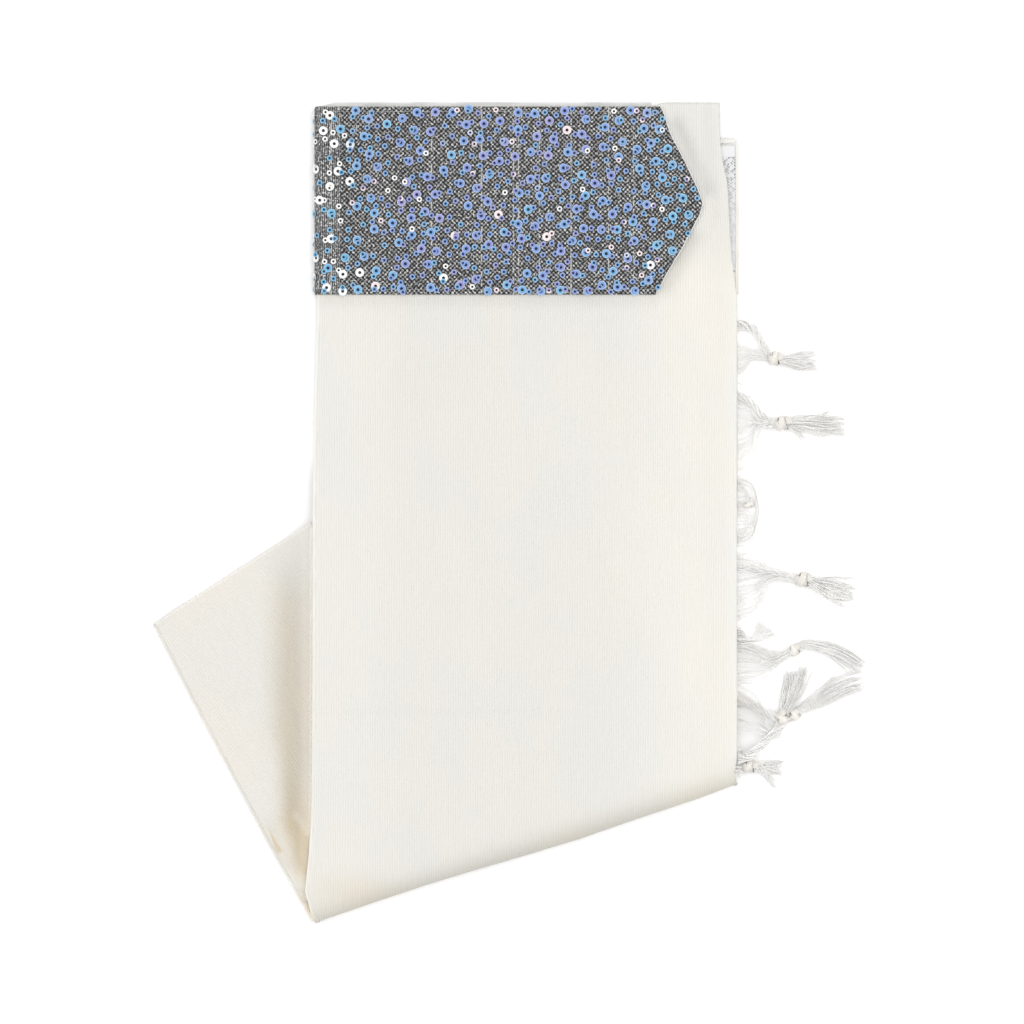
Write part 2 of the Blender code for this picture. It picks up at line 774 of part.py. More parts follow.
def leg_fold(spot, side, ring, depth):
    """Inset and height of the leg panel's rim on one side, at a depth inside its face."""
    top = leg_top(*spot.inward(LEG_ROUND))
    fold = fold_profile(LEG_ANGLES[ring], depth, top, SLANT_LOW, LEG_ROUND[side], UNDER_ROUND)
    if side == "fold":
        return fold
    slope = END_SLOPE[ring]
    away = smooth(from_leg_corner(spot) / LEG_CORNER_BLEND)
    return mix_point(fold, (slope.inset, top - slope.drop - depth), away)


def leg_ring(spot, ring, depth):
    """Point of the leg panel's rim: round the fold edge, and over the end's edge."""
    insets = {}
    heights = []
    for _, side in spot.sides:
        insets[side], height = leg_fold(spot, side, ring, depth)
        heights.append(height)
    x, y = spot.inward(insets)
    return x, y, sum(heights) / len(heights)


def leg_layout():
    """Rim spots on the leg's fold edge and end, and the grid inside them."""
    fold, end, hidden, inner = leg_outline()
    spots = make_outline([("end", end[::-1]), ("fold", fold[::-1])])
    rim = [spot.inward(LEG_ROUND) for spot in spots]
    inner_end = rim[: LEG_COLUMNS + 1][::-1]
    inner_fold = rim[LEG_COLUMNS:][::-1]
    low = [mix_point(inner_fold[0], inner[-1], i / LEG_COLUMNS) for i in
           range(LEG_COLUMNS + 1)]
    side = [mix_point(inner[-1], inner_end[-1], j / LEG_ROWS) for j in range(LEG_ROWS + 1)]
    low = [(x, read_line(sorted(inner), x)) for x, _ in low]
    low[0] = inner_fold[0]
    low[-1] = side[0]
    return spots, fill_grid(low, side, inner_end, inner_fold)


def make_leg_panel():
    spots, grid = leg_layout()
    places = [(i, LEG_ROWS) for i in range(LEG_COLUMNS, 0, -1)]
    places += [(0, j) for j in range(LEG_ROWS, -1, -1)]
    mesh = Mesh()
    add_sheet(mesh, grid, spots, places, leg_top, leg_ring, len(LEG_ANGLES),
              (0.0, CLOTH_WALL))
    return finish_solid("leg_panel", mesh, CREAM)


def leg_side(spot, side, depth):
    """Rings of the leg's hidden layers on one side."""
    if side in PLAIN_SIDES:
        top = leg_top(*spot.point) - depth
        return [(ring.inset, top * ring.height) for ring in LEG_HIDDEN_RINGS]
    rings = [leg_fold(spot, side, ring, depth) for ring in range(len(LEG_ANGLES))]
    if side == "fold":
        return rings + [(rings[-1][0] + LEG_FOOT_INSET, 0.0)]
    if from_leg_corner(spot) < LEG_LIP_START:
        rings = [(max(inset, CORNER_CLEARANCE), height) for inset, height in rings]
        return rings + [(rings[-1][0] + LEG_FOOT_INSET, 0.0)]
    return rings + layer_lips(0.0, rings[-1][1] - LIP_DROP, 0.0)


def make_leg_folds():
    depth = CLOTH_WALL + GAP
    fold, end, hidden, inner = leg_outline()
    spots = make_outline([("inner", inner), ("hidden", hidden), ("end", end[::-1]),
                          ("fold", fold[::-1])])
    places = [(i, 0) for i in range(LEG_COLUMNS)]
    places += [(LEG_COLUMNS, j) for j in range(LEG_ROWS)]
    places += [(i, LEG_ROWS) for i in range(LEG_COLUMNS, 0, -1)]
    places += [(0, j) for j in range(LEG_ROWS, 0, -1)]
    _, grid = leg_layout()
    mesh = Mesh()
    add_slab(mesh, grid, spots, places, lambda x, y: leg_top(x, y) - depth,
             lambda name, spot: leg_side(spot, name, depth), lambda x, y: 0.0)
    return finish_solid("leg_folds", mesh, CREAM_SHADE)


# Neckband, back layers and patch


def add_plate(mesh, grid, outer_height, inner_height):
    """Add a closed plate between two height functions over a grid of plan points."""
    columns = len(grid) - 1
    rows = len(grid[0]) - 1
    faces = []
    for i in range(columns):
        for j in range(rows):
            faces.append([(i, j), (i + 1, j), (i + 1, j + 1), (i, j + 1)])
    for i in range(columns + 1):
        for j in range(rows + 1):
            x, y = grid[i][j]
            mesh.add((0, i, j), (x, y, outer_height(x, y)))
            mesh.add((1, i, j), (x, y, inner_height(x, y)))
    close_shell(mesh, faces)


def band_section(right):
    """X of the neckband's columns on the flat cloth, up to its right end."""
    start = STRIP_LEFT[0].x + FOLD_ROUND
    columns = [mix(start, right - BAND_HEM, i / (BAND_COLUMNS - 1)) for i in
               range(BAND_COLUMNS)]
    return columns + [right]


def make_neckband():
    """The band lies on the front panel and goes round its left fold, under the strip."""
    ends = sorted(BAND_END)
    rows = [ends[0].y, ends[0].y + BAND_HEM] + [end.y for end in ends[1:]]
    mesh = Mesh()
    faces = []
    wraps = len(BAND_WRAP_ANGLES) - 1
    count = wraps + BAND_COLUMNS + 1
    outer_depth = -(GAP + CLOTH_WALL)
    for j, y in enumerate(rows):
        hem = j in (0, len(rows) - 1)
        for side, depth in enumerate((outer_depth, -GAP)):
            for k in range(wraps):
                inset, height = fold_profile(BAND_WRAP_ANGLES[k], depth, STRIP_HEIGHT,
                                             FOLD_CLEARANCE, FOLD_ROUND, UNDER_ROUND)
                mesh.add((side, k, j), (STRIP_LEFT[0].x + inset, y, height))
            for k, x in enumerate(band_section(read_line(BAND_END, y))):
                edge = hem or k == BAND_COLUMNS
                drop = BAND_HEM_DROP if edge and side == 0 else 0.0
                mesh.add((side, wraps + k, j), (x, y, STRIP_HEIGHT - depth - drop))
    for k in range(count - 1):
        for j in range(len(rows) - 1):
            faces.append([(k, j), (k + 1, j), (k + 1, j + 1), (k, j + 1)])
    close_shell(mesh, faces)
    return finish_solid("neckband", mesh, CHARCOAL)


def back_left_x(y):
    """Left edge of the back layers, tucked under the strip beside its hidden layers."""
    return read_line(STRIP_RIGHT, y) - BACK_UNDER_STRIP


def back_grid(rows_y, left_of, right, columns):
    """Plan points [column][row] from a left edge that follows y to a straight right edge."""
    return [[(mix(left_of(y), right, i / columns), y) for y in rows_y]
            for i in range(columns + 1)]


def make_back_edge_panel():
    hem = BACK_HIGH_Y - BACK_HEM
    rows_y = [edge.y for edge in sorted(STRIP_RIGHT) if BACK_LOW_Y < edge.y < hem]
    rows_y = [BACK_LOW_Y] + rows_y
    rows_y += [hem, hem + BACK_HEM_ROUND, BACK_HIGH_Y - BACK_HEM_ROUND, BACK_HIGH_Y]
    grid = back_grid(rows_y, back_left_x, BACK_RIGHT_X, BACK_COLUMNS)

    def height(x, y):
        if y <= hem:
            return BACK_HEIGHT
        if y < BACK_HIGH_Y:
            return BACK_HEIGHT + BACK_HEM_RISE
        return BACK_HEIGHT - BACK_HEM_FALL

    mesh = Mesh()
    add_plate(mesh, grid, height, lambda x, y: 0.0)
    return finish_solid("back_edge_panel", mesh, CREAM_SHADE)


def make_corner_patch():
    rows_y = [edge.y for edge in sorted(STRIP_RIGHT) if PATCH_LOW_Y < edge.y < PATCH_HIGH_Y]
    rows_y = [PATCH_LOW_Y] + rows_y + [PATCH_HIGH_Y]
    grid = back_grid(rows_y, lambda y: back_left_x(y) + PATCH_TUCK, PATCH_RIGHT_X,
                     PATCH_COLUMNS)
    mesh = Mesh()
    add_plate(mesh, grid, lambda x, y: BACK_HEIGHT + GAP + PATCH_WALL,
              lambda x, y: BACK_HEIGHT + GAP)
    return finish_solid("corner_patch", mesh, SILVER)


def make_top_layer():
    """Back layers at the neckband edge, with their own lips."""
    left_x, left_y = TOP_LAYER_LEFT
    mesh = Mesh()
    for i in range(TOP_LAYER_COLUMNS + 1):
        x = mix(left_x, TOP_LAYER_RIGHT_X, i / TOP_LAYER_COLUMNS)
        high = TOP_LAYER_HIGH_Y - (TOP_LAYER_CORNER if i == 0 else 0.0)
        mesh.add((i, "low_top"), (x, left_y, BACK_HEIGHT))
        mesh.add((i, "low_bottom"), (x, left_y, 0.0))
        for k, ring in enumerate(TOP_LAYER_RINGS):
            mesh.add((i, k), (x, high - ring.inset, BACK_HEIGHT * ring.height))
    section = ["low_bottom", "low_top"] + list(range(len(TOP_LAYER_RINGS)))
    for i in range(TOP_LAYER_COLUMNS):
        for a, b in zip(section, section[1:] + section[:1]):
            mesh.face([(i, a), (i, b), (i + 1, b), (i + 1, a)])
    mesh.face([(0, key) for key in section[::-1]])
    mesh.face([(TOP_LAYER_COLUMNS, key) for key in section])
    return finish_solid("top_layer", mesh, GREY_BACK)


# The fringe


def bezier(start, via, end, t):
    return tuple((1 - t) ** 2 * a + 2 * t * (1 - t) * b + t * t * c
                 for a, b, c in zip(start, via, end))


def unit(start, end):
    length = math.hypot(end[0] - start[0], end[1] - start[1])
    return ((end[0] - start[0]) / length, (end[1] - start[1]) / length)


def grow_strand(mesh, name, base, route):
    """Extrude a four-sided strand from a base square along (x, y, z, half width) points."""
    before = base
    for k, (x, y, z, half) in enumerate(route):
        along = unit(route[max(k - 1, 0)], route[min(k + 1, len(route) - 1)])
        side = (along[1], -along[0])
        ring = []
        for corner, (across, up) in enumerate(((-1, -1), (1, -1), (1, 1), (-1, 1))):
            key = (name, k, corner)
            mesh.add(key, (x + side[0] * across * half, y + side[1] * across * half,
                           z + up * half))
            ring.append(key)
        for corner in range(4):
            following = (corner + 1) % 4
            mesh.face([before[corner], before[following], ring[following], ring[corner]])
        before = ring
    mesh.face(before)


def strand_route(start, via, end, start_z, end_z, base, tip):
    """Ring centres and sizes of one strand, tapered to its tip."""
    route = []
    for k in range(1, STRAND_RINGS + 1):
        t = k / STRAND_RINGS
        x, y = bezier(start, via, end, t)
        fall = smooth(t * STRAND_FALL)
        route.append((x, y, mix(start_z, end_z, fall), mix(base, tip, t)))
    return route


def add_head(mesh, centre, along, half, half_length):
    """Add a knot: a short round body whose two ends are grids of squares."""
    side = (along[1], -along[0])
    rim = [(a, 0) for a in range(HEAD_ACROSS)]
    rim += [(HEAD_ACROSS, b) for b in range(HEAD_UP)]
    rim += [(a, HEAD_UP) for a in range(HEAD_ACROSS, 0, -1)]
    rim += [(0, b) for b in range(HEAD_UP, 0, -1)]
    last = len(KNOT_STATIONS) - 1
    for s, (reach, swell) in enumerate(KNOT_STATIONS):
        ends = s in (0, last)
        places = rim
        if ends:
            places = [(a, b) for a in range(HEAD_ACROSS + 1) for b in range(HEAD_UP + 1)]
        for a, b in places:
            across = 2.0 * a / HEAD_ACROSS - 1.0
            up = 2.0 * b / HEAD_UP - 1.0
            round_across = across * math.sqrt(1.0 - up * up / 2.0) * half * swell
            round_up = up * math.sqrt(1.0 - across * across / 2.0) * half * swell
            mesh.add(("head", s, a, b), (
                centre[0] + along[0] * reach * half_length + side[0] * round_across,
                centre[1] + along[1] * reach * half_length + side[1] * round_across,
                centre[2] + round_up,
            ))
    for s in range(last):
        for k, place in enumerate(rim):
            following = rim[(k + 1) % len(rim)]
            mesh.face([("head", s, *place), ("head", s, *following),
                       ("head", s + 1, *following), ("head", s + 1, *place)])


def head_square(end, a, b):
    """The four points of a square on a head's end, as seen along its strand."""
    places = [(a, b), (a + 1, b), (a + 1, b + 1), (a, b + 1)]
    if end == 0:
        places = [(a + 1, b), (a, b), (a, b + 1), (a + 1, b + 1)]
    return [("head", end, *place) for place in places]


def ahead(point, along, side, forward, across):
    """A plan point some way forward along a direction and across it."""
    return (point[0] + along[0] * forward + side[0] * across,
            point[1] + along[1] * forward + side[1] * across)


def make_tassel(row):
    """A knot with root strands from the cloth's edge and tail strands."""
    knot = (row.knot_x, row.knot_y)
    angle = math.radians(row.angle)
    along = (math.cos(angle), math.sin(angle))
    side = (along[1], -along[0])
    half = row.knot_half
    face = half * KNOT_LENGTH
    height = half + KNOT_LIFT
    base = half * STRAND_SHARE
    last_face = len(KNOT_STATIONS) - 1
    mesh = Mesh()
    add_head(mesh, (*knot, height), along, half, face)
    tail_end = (row.tail_x, row.tail_y)
    last = unit(ahead(knot, along, side, row.tail_reach + face, 0.0), tail_end)
    for a in range(HEAD_ACROSS):
        across = 2.0 * (a + 0.5) / HEAD_ACROSS - 1.0
        spread = across * half * STRANDS_IN_KNOT
        for b in range(HEAD_UP):
            rise = FLOOR_STRAND if b == 0 else SECOND_STRAND
            start_z = height + (b - 0.5) * half * STRANDS_IN_KNOT
            shorter = SHORTER_STRANDS[(a * 2 + b * 3) % len(SHORTER_STRANDS)]
            start = ahead(knot, along, side, face, spread)
            via = ahead(start, along, side, row.tail_reach,
                        across * row.tail_spread * CURVE_SPREAD)
            end = ahead(tail_end, last, (last[1], -last[0]), 0.0,
                        across * row.tail_spread / 2)
            end = mix_point(end, knot, shorter)
            route = strand_route(start, via, end, start_z, rise, base, TIP_HALF)
            grow_strand(mesh, ("tail", a, b), head_square(last_face, a, b), route)
            start = ahead(knot, along, side, -face, spread)
            via = ahead(start, along, side, -row.root_reach,
                        across * row.root_spread * CURVE_SPREAD)
            end = (row.root_x, row.root_y - across * row.root_spread / 2)
            rise += strip_ground(*end)
            route = strand_route(start, via, end, start_z, rise, base, base * ROOT_THINNING)
            grow_strand(mesh, ("root", a, b), head_square(0, a, b), route)
    return finish_solid(f"tassel_{row.number}", mesh, FRINGE_WHITE)


def add_backing(mesh, low_y, high_y, squares):
    """Add a narrow upright strip by the cloth's edge, with squares on its outer side."""
    inner = FRINGE_X
    outer = FRINGE_X + BACKING_WIDTH
    for k in range(squares + 1):
        y = mix(low_y, high_y, k / squares)
        for level, z in enumerate((BACKING_LOW, BACKING_HEIGHT)):
            mesh.add(("in", k, level), (inner, y, z))
            mesh.add(("out", k, level), (outer, y, z))
    for k in range(squares):
        mesh.face([("in", k, 0), ("in", k + 1, 0), ("in", k + 1, 1), ("in", k, 1)])
        mesh.face([("in", k, 1), ("in", k + 1, 1), ("out", k + 1, 1), ("out", k, 1)])
        mesh.face([("in", k, 0), ("out", k, 0), ("out", k + 1, 0), ("in", k + 1, 0)])
    mesh.face([("in", 0, 0), ("in", 0, 1), ("out", 0, 1), ("out", 0, 0)])
    mesh.face([("in", squares, 0), ("out", squares, 0), ("out", squares, 1),
               ("in", squares, 1)])


def backing_square(k):
    """The four points of a backing's outer square, as seen along its strand."""
    return [("out", k + 1, 0), ("out", k, 0), ("out", k, 1), ("out", k + 1, 1)]


def make_loop_tassel():
    """Threads that leave the cloth's edge, loop out and come back to it."""
    mesh = Mesh()
    squares = LOOP_STRANDS * 2
    add_backing(mesh, LOOP_LOW_Y, LOOP_HIGH_Y, squares)
    middle = (LOOP_LOW_Y + LOOP_HIGH_Y) / 2.0
    pitch = (LOOP_HIGH_Y - LOOP_LOW_Y) / squares
    for k in range(squares):
        start_y = LOOP_LOW_Y + pitch * (k + 0.5)
        if k >= LOOP_STRANDS:
            mesh.face(backing_square(k))
            continue
        half_height = middle - start_y
        reach = LOOP_REACH * (half_height / (middle - LOOP_LOW_Y)) ** LOOP_BEND
        route = []
        for step in range(1, LOOP_STEPS + 1):
            angle = math.radians(LOOP_TURN * step / LOOP_STEPS)
            route.append((FRINGE_X + BACKING_WIDTH + reach * math.sin(angle),
                          middle - half_height * math.cos(angle), LOOP_LIFT, LOOP_HALF))
        grow_strand(mesh, ("loop", k), backing_square(k), route)
    return finish_solid("tassel_3", mesh, FRINGE_WHITE)


def make_corner_tuft():
    mesh = Mesh()
    add_backing(mesh, TUFT_LOW_Y, TUFT_HIGH_Y, TUFT_STRANDS)
    for k in range(TUFT_STRANDS):
        share = (k + 0.5) / TUFT_STRANDS
        across = 2.0 * share - 1.0
        start = (FRINGE_X + BACKING_WIDTH, mix(TUFT_LOW_Y, TUFT_HIGH_Y, share))
        end = (TUFT_END[0] - across * TUFT_SPREAD[0], TUFT_END[1] + across * TUFT_SPREAD[1])
        via = mix_point(start, (TUFT_END[0], start[1]), 0.5)
        route = strand_route(start, via, end, *TUFT_RISE, TUFT_HALF, TIP_HALF)
        grow_strand(mesh, ("tuft", k), backing_square(k), route)
    return finish_solid("corner_tuft", mesh, FRINGE_WHITE)


def make_shawl():
    """Clear the scene, then make each piece."""
    for old in list(bpy.data.objects):
        bpy.data.objects.remove(old, do_unlink=True)
    make_front_panel()
    make_main_folds()
    make_leg_panel()
    make_leg_folds()
    make_neckband()
    make_back_edge_panel()
    make_corner_patch()
    make_top_layer()
    for tassel in TASSELS:
        make_tassel(tassel)
    make_loop_tassel()
    make_corner_tuft()


make_shawl()
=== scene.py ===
import math
import random

import bmesh
import bpy
import numpy as np
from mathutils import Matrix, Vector, noise


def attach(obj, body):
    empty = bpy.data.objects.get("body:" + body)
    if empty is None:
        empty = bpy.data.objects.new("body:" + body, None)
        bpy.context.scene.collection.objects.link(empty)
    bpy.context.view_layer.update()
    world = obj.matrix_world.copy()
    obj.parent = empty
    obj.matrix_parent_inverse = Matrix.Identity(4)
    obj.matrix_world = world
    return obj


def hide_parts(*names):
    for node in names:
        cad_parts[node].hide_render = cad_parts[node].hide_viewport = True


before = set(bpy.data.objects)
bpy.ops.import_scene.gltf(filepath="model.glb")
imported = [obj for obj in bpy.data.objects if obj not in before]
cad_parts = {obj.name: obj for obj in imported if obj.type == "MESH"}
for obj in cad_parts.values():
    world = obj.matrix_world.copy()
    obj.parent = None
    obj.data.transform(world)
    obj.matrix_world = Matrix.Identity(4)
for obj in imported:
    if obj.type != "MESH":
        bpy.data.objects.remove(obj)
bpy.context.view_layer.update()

mm = 0.001
fullTurn = 2.0 * math.pi
scene = bpy.context.scene


# small sums used all over
def mix(start, stop, share):
    return start + (stop - start) * share


def smooth(share):
    share = min(max(share, 0.0), 1.0)
    return share * share * (3.0 - 2.0 * share)


def ramp(at, start, stop):
    # grows from 0 at the start to 1 at the stop
    return smooth((at - start) / (stop - start))


def spread(start, stop, count):
    return [mix(start, stop, k / (count - 1)) for k in range(count)]


def curveAt(rows, at):
    # rows are (place, value), read along a smooth curve
    rows = sorted(rows)
    at = min(max(at, rows[0][0]), rows[-1][0])
    last = len(rows) - 1
    here = next(k for k in range(last) if at <= rows[k + 1][0])

    def slope(k):
        before, after = rows[max(k - 1, 0)], rows[min(k + 1, last)]
        return (after[1] - before[1]) / (after[0] - before[0])

    width = rows[here + 1][0] - rows[here][0]
    t = (at - rows[here][0]) / width
    return ((2 * t**3 - 3 * t**2 + 1) * rows[here][1]
            + (t**3 - 2 * t**2 + t) * slope(here) * width
            + (3 * t**2 - 2 * t**3) * rows[here + 1][1]
            + (t**3 - t**2) * slope(here + 1) * width)


def lineAt(rows, at, column=1):
    rows = sorted(rows)
    return float(np.interp(at, [row[0] for row in rows], [row[column] for row in rows]))


def fromLine(x, y, x0, y0, x1, y1):
    # how far off the line a place is, and how far past the line's ends
    length = math.hypot(x1 - x0, y1 - y0)
    along = ((x - x0) * (x1 - x0) + (y - y0) * (y1 - y0)) / length
    off = ((x - x0) * (y1 - y0) - (y - y0) * (x1 - x0)) / length
    return off, max(-along, along - length, 0.0)


def makePiece(name, points, faces, clothPlaces=None, finish=None):
    # points in millimetres; clothPlaces are each point's place on the flat cloth
    mesh = bpy.data.meshes.new(name)
    mesh.from_pydata([tuple(c * mm for c in p) for p in points], [], faces)
    if clothPlaces is not None:
        layer = mesh.uv_layers.new(name="cloth")
        for loop in mesh.loops:
            u, v = clothPlaces[loop.vertex_index]
            layer.data[loop.index].uv = (u * mm, v * mm)
    if finish is not None:
        mesh.materials.append(finish)
    mesh.shade_smooth()
    piece = bpy.data.objects.new(name, mesh)
    scene.collection.objects.link(piece)
    return piece


def gridFaces(columns, rows):
    corners = [i * rows + j for i in range(columns - 1) for j in range(rows - 1)]
    return [(a, a + rows, a + rows + 1, a + 1) for a in corners]


def tubeFaces(rings, sides, turned=False):
    # the faces of a closed tube, ring by ring, with a cap at each end
    faces = []
    for k in range(rings - 1):
        for s in range(sides):
            a, b = k * sides + s, k * sides + (s + 1) % sides
            faces.append((a, a + sides, b + sides, b) if turned
                         else (a, b, b + sides, a + sides))
    first, last = tuple(range(sides)), tuple(range((rings - 1) * sides, rings * sides))
    return faces + ([first, last[::-1]] if turned else [first[::-1], last])


def giveWall(piece, wall):
    # the wall grows inwards, so the outside keeps its place
    solidify = piece.modifiers.new("wall", "SOLIDIFY")
    solidify.thickness = wall * mm
    solidify.offset = -1.0
    solidify.use_quality_normals = True
    return piece


# camera, straight above as the cloth lies on a table
view = {"width": 546.8, "lens": 200.0, "sensor": 36.0, "sharpAt": 7.0}
camera = bpy.data.objects.new("camera", bpy.data.cameras.new("camera"))
camera.data.lens = view["lens"]
camera.data.sensor_width = view["sensor"]
camera.location = (0, 0, (view["width"] * view["lens"] / view["sensor"] + view["sharpAt"]) * mm)
scene.collection.objects.link(camera)
scene.camera = camera
print("camera placed")


# node helpers
def link(tree, start, stop):
    tree.links.new(start, stop)


def feed(tree, socket, value):
    if isinstance(value, bpy.types.NodeSocket):
        tree.links.new(value, socket)
    elif value is not None:
        socket.default_value = value


def maths(tree, operation, a, b=None, clamp=False):
    node = tree.nodes.new("ShaderNodeMath")
    node.operation = operation
    node.use_clamp = clamp
    feed(tree, node.inputs[0], a)
    feed(tree, node.inputs[1], b)
    return node.outputs[0]


def plus(tree, a, b):
    return maths(tree, "ADD", a, b)


def minus(tree, a, b):
    return maths(tree, "SUBTRACT", a, b)


def times(tree, a, b):
    return maths(tree, "MULTIPLY", a, b)


def swing(tree, share, size):
    # a share from 0 to 1 becomes a sway to both sides of nothing
    return times(tree, minus(tree, share, 0.5), size)


def mapRange(tree, value, low, high, newLow=0.0, newHigh=1.0):
    node = tree.nodes.new("ShaderNodeMapRange")
    node.interpolation_type = "SMOOTHSTEP"
    for socket, given in zip(node.inputs, (value, low, high, newLow, newHigh)):
        feed(tree, socket, given)
    return node.outputs[0]


def mixColour(tree, share, first, second, blend="MIX"):
    node = tree.nodes.new("ShaderNodeMix")
    node.data_type = "RGBA"
    node.blend_type = blend
    feed(tree, node.inputs[0], share)
    for socket, colour in zip(node.inputs[6:8], (first, second)):
        feed(tree, socket, (*colour, 1.0) if isinstance(colour, tuple) else colour)
    return node.outputs[2]


def mixValue(tree, share, first, second):
    node = tree.nodes.new("ShaderNodeMix")
    for socket, value in zip((node.inputs[0], *node.inputs[2:4]), (share, first, second)):
        feed(tree, socket, value)
    return node.outputs[0]


def noiseAt(tree, place, scale, detail=2.0):
    # two scales make flat noise, three make solid noise
    stretched = tree.nodes.new("ShaderNodeMapping")
    link(tree, place, stretched.inputs["Vector"])
    stretched.inputs["Scale"].default_value = (*scale, 1.0)[:3]
    node = tree.nodes.new("ShaderNodeTexNoise")
    node.noise_dimensions = "2D" if len(scale) == 2 else "3D"
    link(tree, stretched.outputs[0], node.inputs["Vector"])
    node.inputs["Scale"].default_value = 1.0
    node.inputs["Detail"].default_value = detail
    return node.outputs[0]


def split(tree, vector):
    node = tree.nodes.new("ShaderNodeSeparateXYZ")
    link(tree, vector, node.inputs[0])
    return node.outputs


def newNodes(name, kind, inputs, outputs):
    # an empty node group; each input is its label, its kind and perhaps its value
    tree = bpy.data.node_groups.new(name, kind)
    for label, socketKind, *value in inputs:
        socket = tree.interface.new_socket(label, in_out="INPUT",
                                           socket_type="NodeSocket" + socketKind)
        if value:
            socket.default_value = value[0]
    for label, socketKind in outputs:
        tree.interface.new_socket(label, in_out="OUTPUT", socket_type="NodeSocket" + socketKind)
    return tree, tree.nodes.new("NodeGroupInput").outputs, tree.nodes.new("NodeGroupOutput").inputs


def useGroup(tree, group, **values):
    node = tree.nodes.new("ShaderNodeGroup")
    node.node_tree = group
    for label, value in values.items():
        feed(tree, node.inputs[label.replace("_", " ")], value)
    return node.outputs


def newFinish(name, roughness=0.9, sheen=0.0):
    finish = bpy.data.materials.new(name)
    finish.use_nodes = True
    shader = finish.node_tree.nodes["Principled BSDF"]
    shader.inputs["Roughness"].default_value = roughness
    shader.inputs["Sheen Weight"].default_value = sheen
    shader.inputs["Sheen Roughness"].default_value = 0.5
    return finish, finish.node_tree, shader


def giveLook(tree, shader, colour, height, depth):
    # the shader's colour, and its relief from a height and how deep that is
    link(tree, colour, shader.inputs["Base Color"])
    bump = tree.nodes.new("ShaderNodeBump")
    bump.inputs["Distance"].default_value = depth
    link(tree, height, bump.inputs["Height"])
    link(tree, bump.outputs[0], shader.inputs["Normal"])


def clothPlace(tree):
    node = tree.nodes.new("ShaderNodeUVMap")
    node.uv_map = "cloth"
    return node.outputs[0]


def objectPlace(tree):
    return tree.nodes.new("ShaderNodeTexCoord").outputs["Object"]


def attributeAt(tree, name):
    node = tree.nodes.new("ShaderNodeAttribute")
    node.attribute_name = name
    return node.outputs["Fac"]


# ribbed plain weave: ribs run along v and repeat along u
def makeRibWeave():
    tree, given, out = newNodes(
        "ribWeave", "ShaderNodeTree",
        [("Place", "Vector"), ("Rib Pitch", "Float", 0.0013), ("Weft Pitch", "Float", 0.00075),
         ("Wander", "Float", 0.0004)],
        [("Height", "Float"), ("Tone", "Float"), ("Patches", "Float")])
    place = given["Place"]
    x, y, _ = split(tree, place)
    sway = swing(tree, noiseAt(tree, place, (40.0, 9.0)), times(tree, given["Wander"], 4.0))
    u = maths(tree, "DIVIDE", plus(tree, x, sway), given["Rib Pitch"])
    v = maths(tree, "DIVIDE", y, given["Weft Pitch"])
    # each weft yarn goes over one rib and under the next
    offset = times(tree, maths(tree, "FLOOR", u), math.pi)
    weft = maths(tree, "SINE", plus(tree, times(tree, v, fullTurn), offset))
    uneven = noiseAt(tree, place, (900.0, 110.0), 3.0)
    fine = noiseAt(tree, place, (1600.0, 1600.0))
    ribs = times(tree, maths(tree, "SINE", times(tree, u, fullTurn)),
                 mapRange(tree, uneven, 0.3, 0.7, 0.35, 1.0))
    height = plus(tree, times(tree, ribs, 0.5), times(tree, weft, 0.12))
    link(tree, plus(tree, height, times(tree, fine, 0.35)), out["Height"])
    link(tree, plus(tree, times(tree, ribs, 0.5), swing(tree, uneven, 1.2)), out["Tone"])
    link(tree, noiseAt(tree, place, (22.0, 12.0), 3.0), out["Patches"])
    return tree


ribWeave = makeRibWeave()
# the slit where the leg's top layer has pulled off the layer under it, shown by painted warm shade
# in its mouth
slit = {"start": (-132.6, -163.6), "end": (-123.2, -181.0), "mouth": 3.2, "soft": 0.5}


def slitShadeMask(tree):
    (x0, y0), (x1, y1) = slit["start"], slit["end"]
    length = math.hypot(x1 - x0, y1 - y0)
    ax, ay = (x1 - x0) / length, (y1 - y0) / length
    x, y, _ = split(tree, objectPlace(tree))
    x, y = minus(tree, x, x0 * mm), minus(tree, y, y0 * mm)
    along = plus(tree, times(tree, x, ax), times(tree, y, ay))
    along = maths(tree, "DIVIDE", along, length * mm)
    off = minus(tree, times(tree, x, -ay), times(tree, y, -ax))
    mouth = times(tree, mapRange(tree, along, 0.0, 1.0), slit["mouth"] * mm)
    away = maths(tree, "ABSOLUTE", plus(tree, off, times(tree, mouth, 0.35)))
    inside = minus(tree, times(tree, mouth, 0.5), away)
    mask = mapRange(tree, inside, 0.0, slit["soft"] * mm)
    return times(tree, mask, mapRange(tree, along, 1.12, 0.96))


# colours that the cloth's own is multiplied by, where its painted shares say so: warm and grey
# painted shade, and painted light
clothTints = {"warm": (0.87, 0.78, 0.64), "greyShade": (0.80, 0.805, 0.80), "thin": (1.34, 1.34, 1.34)}


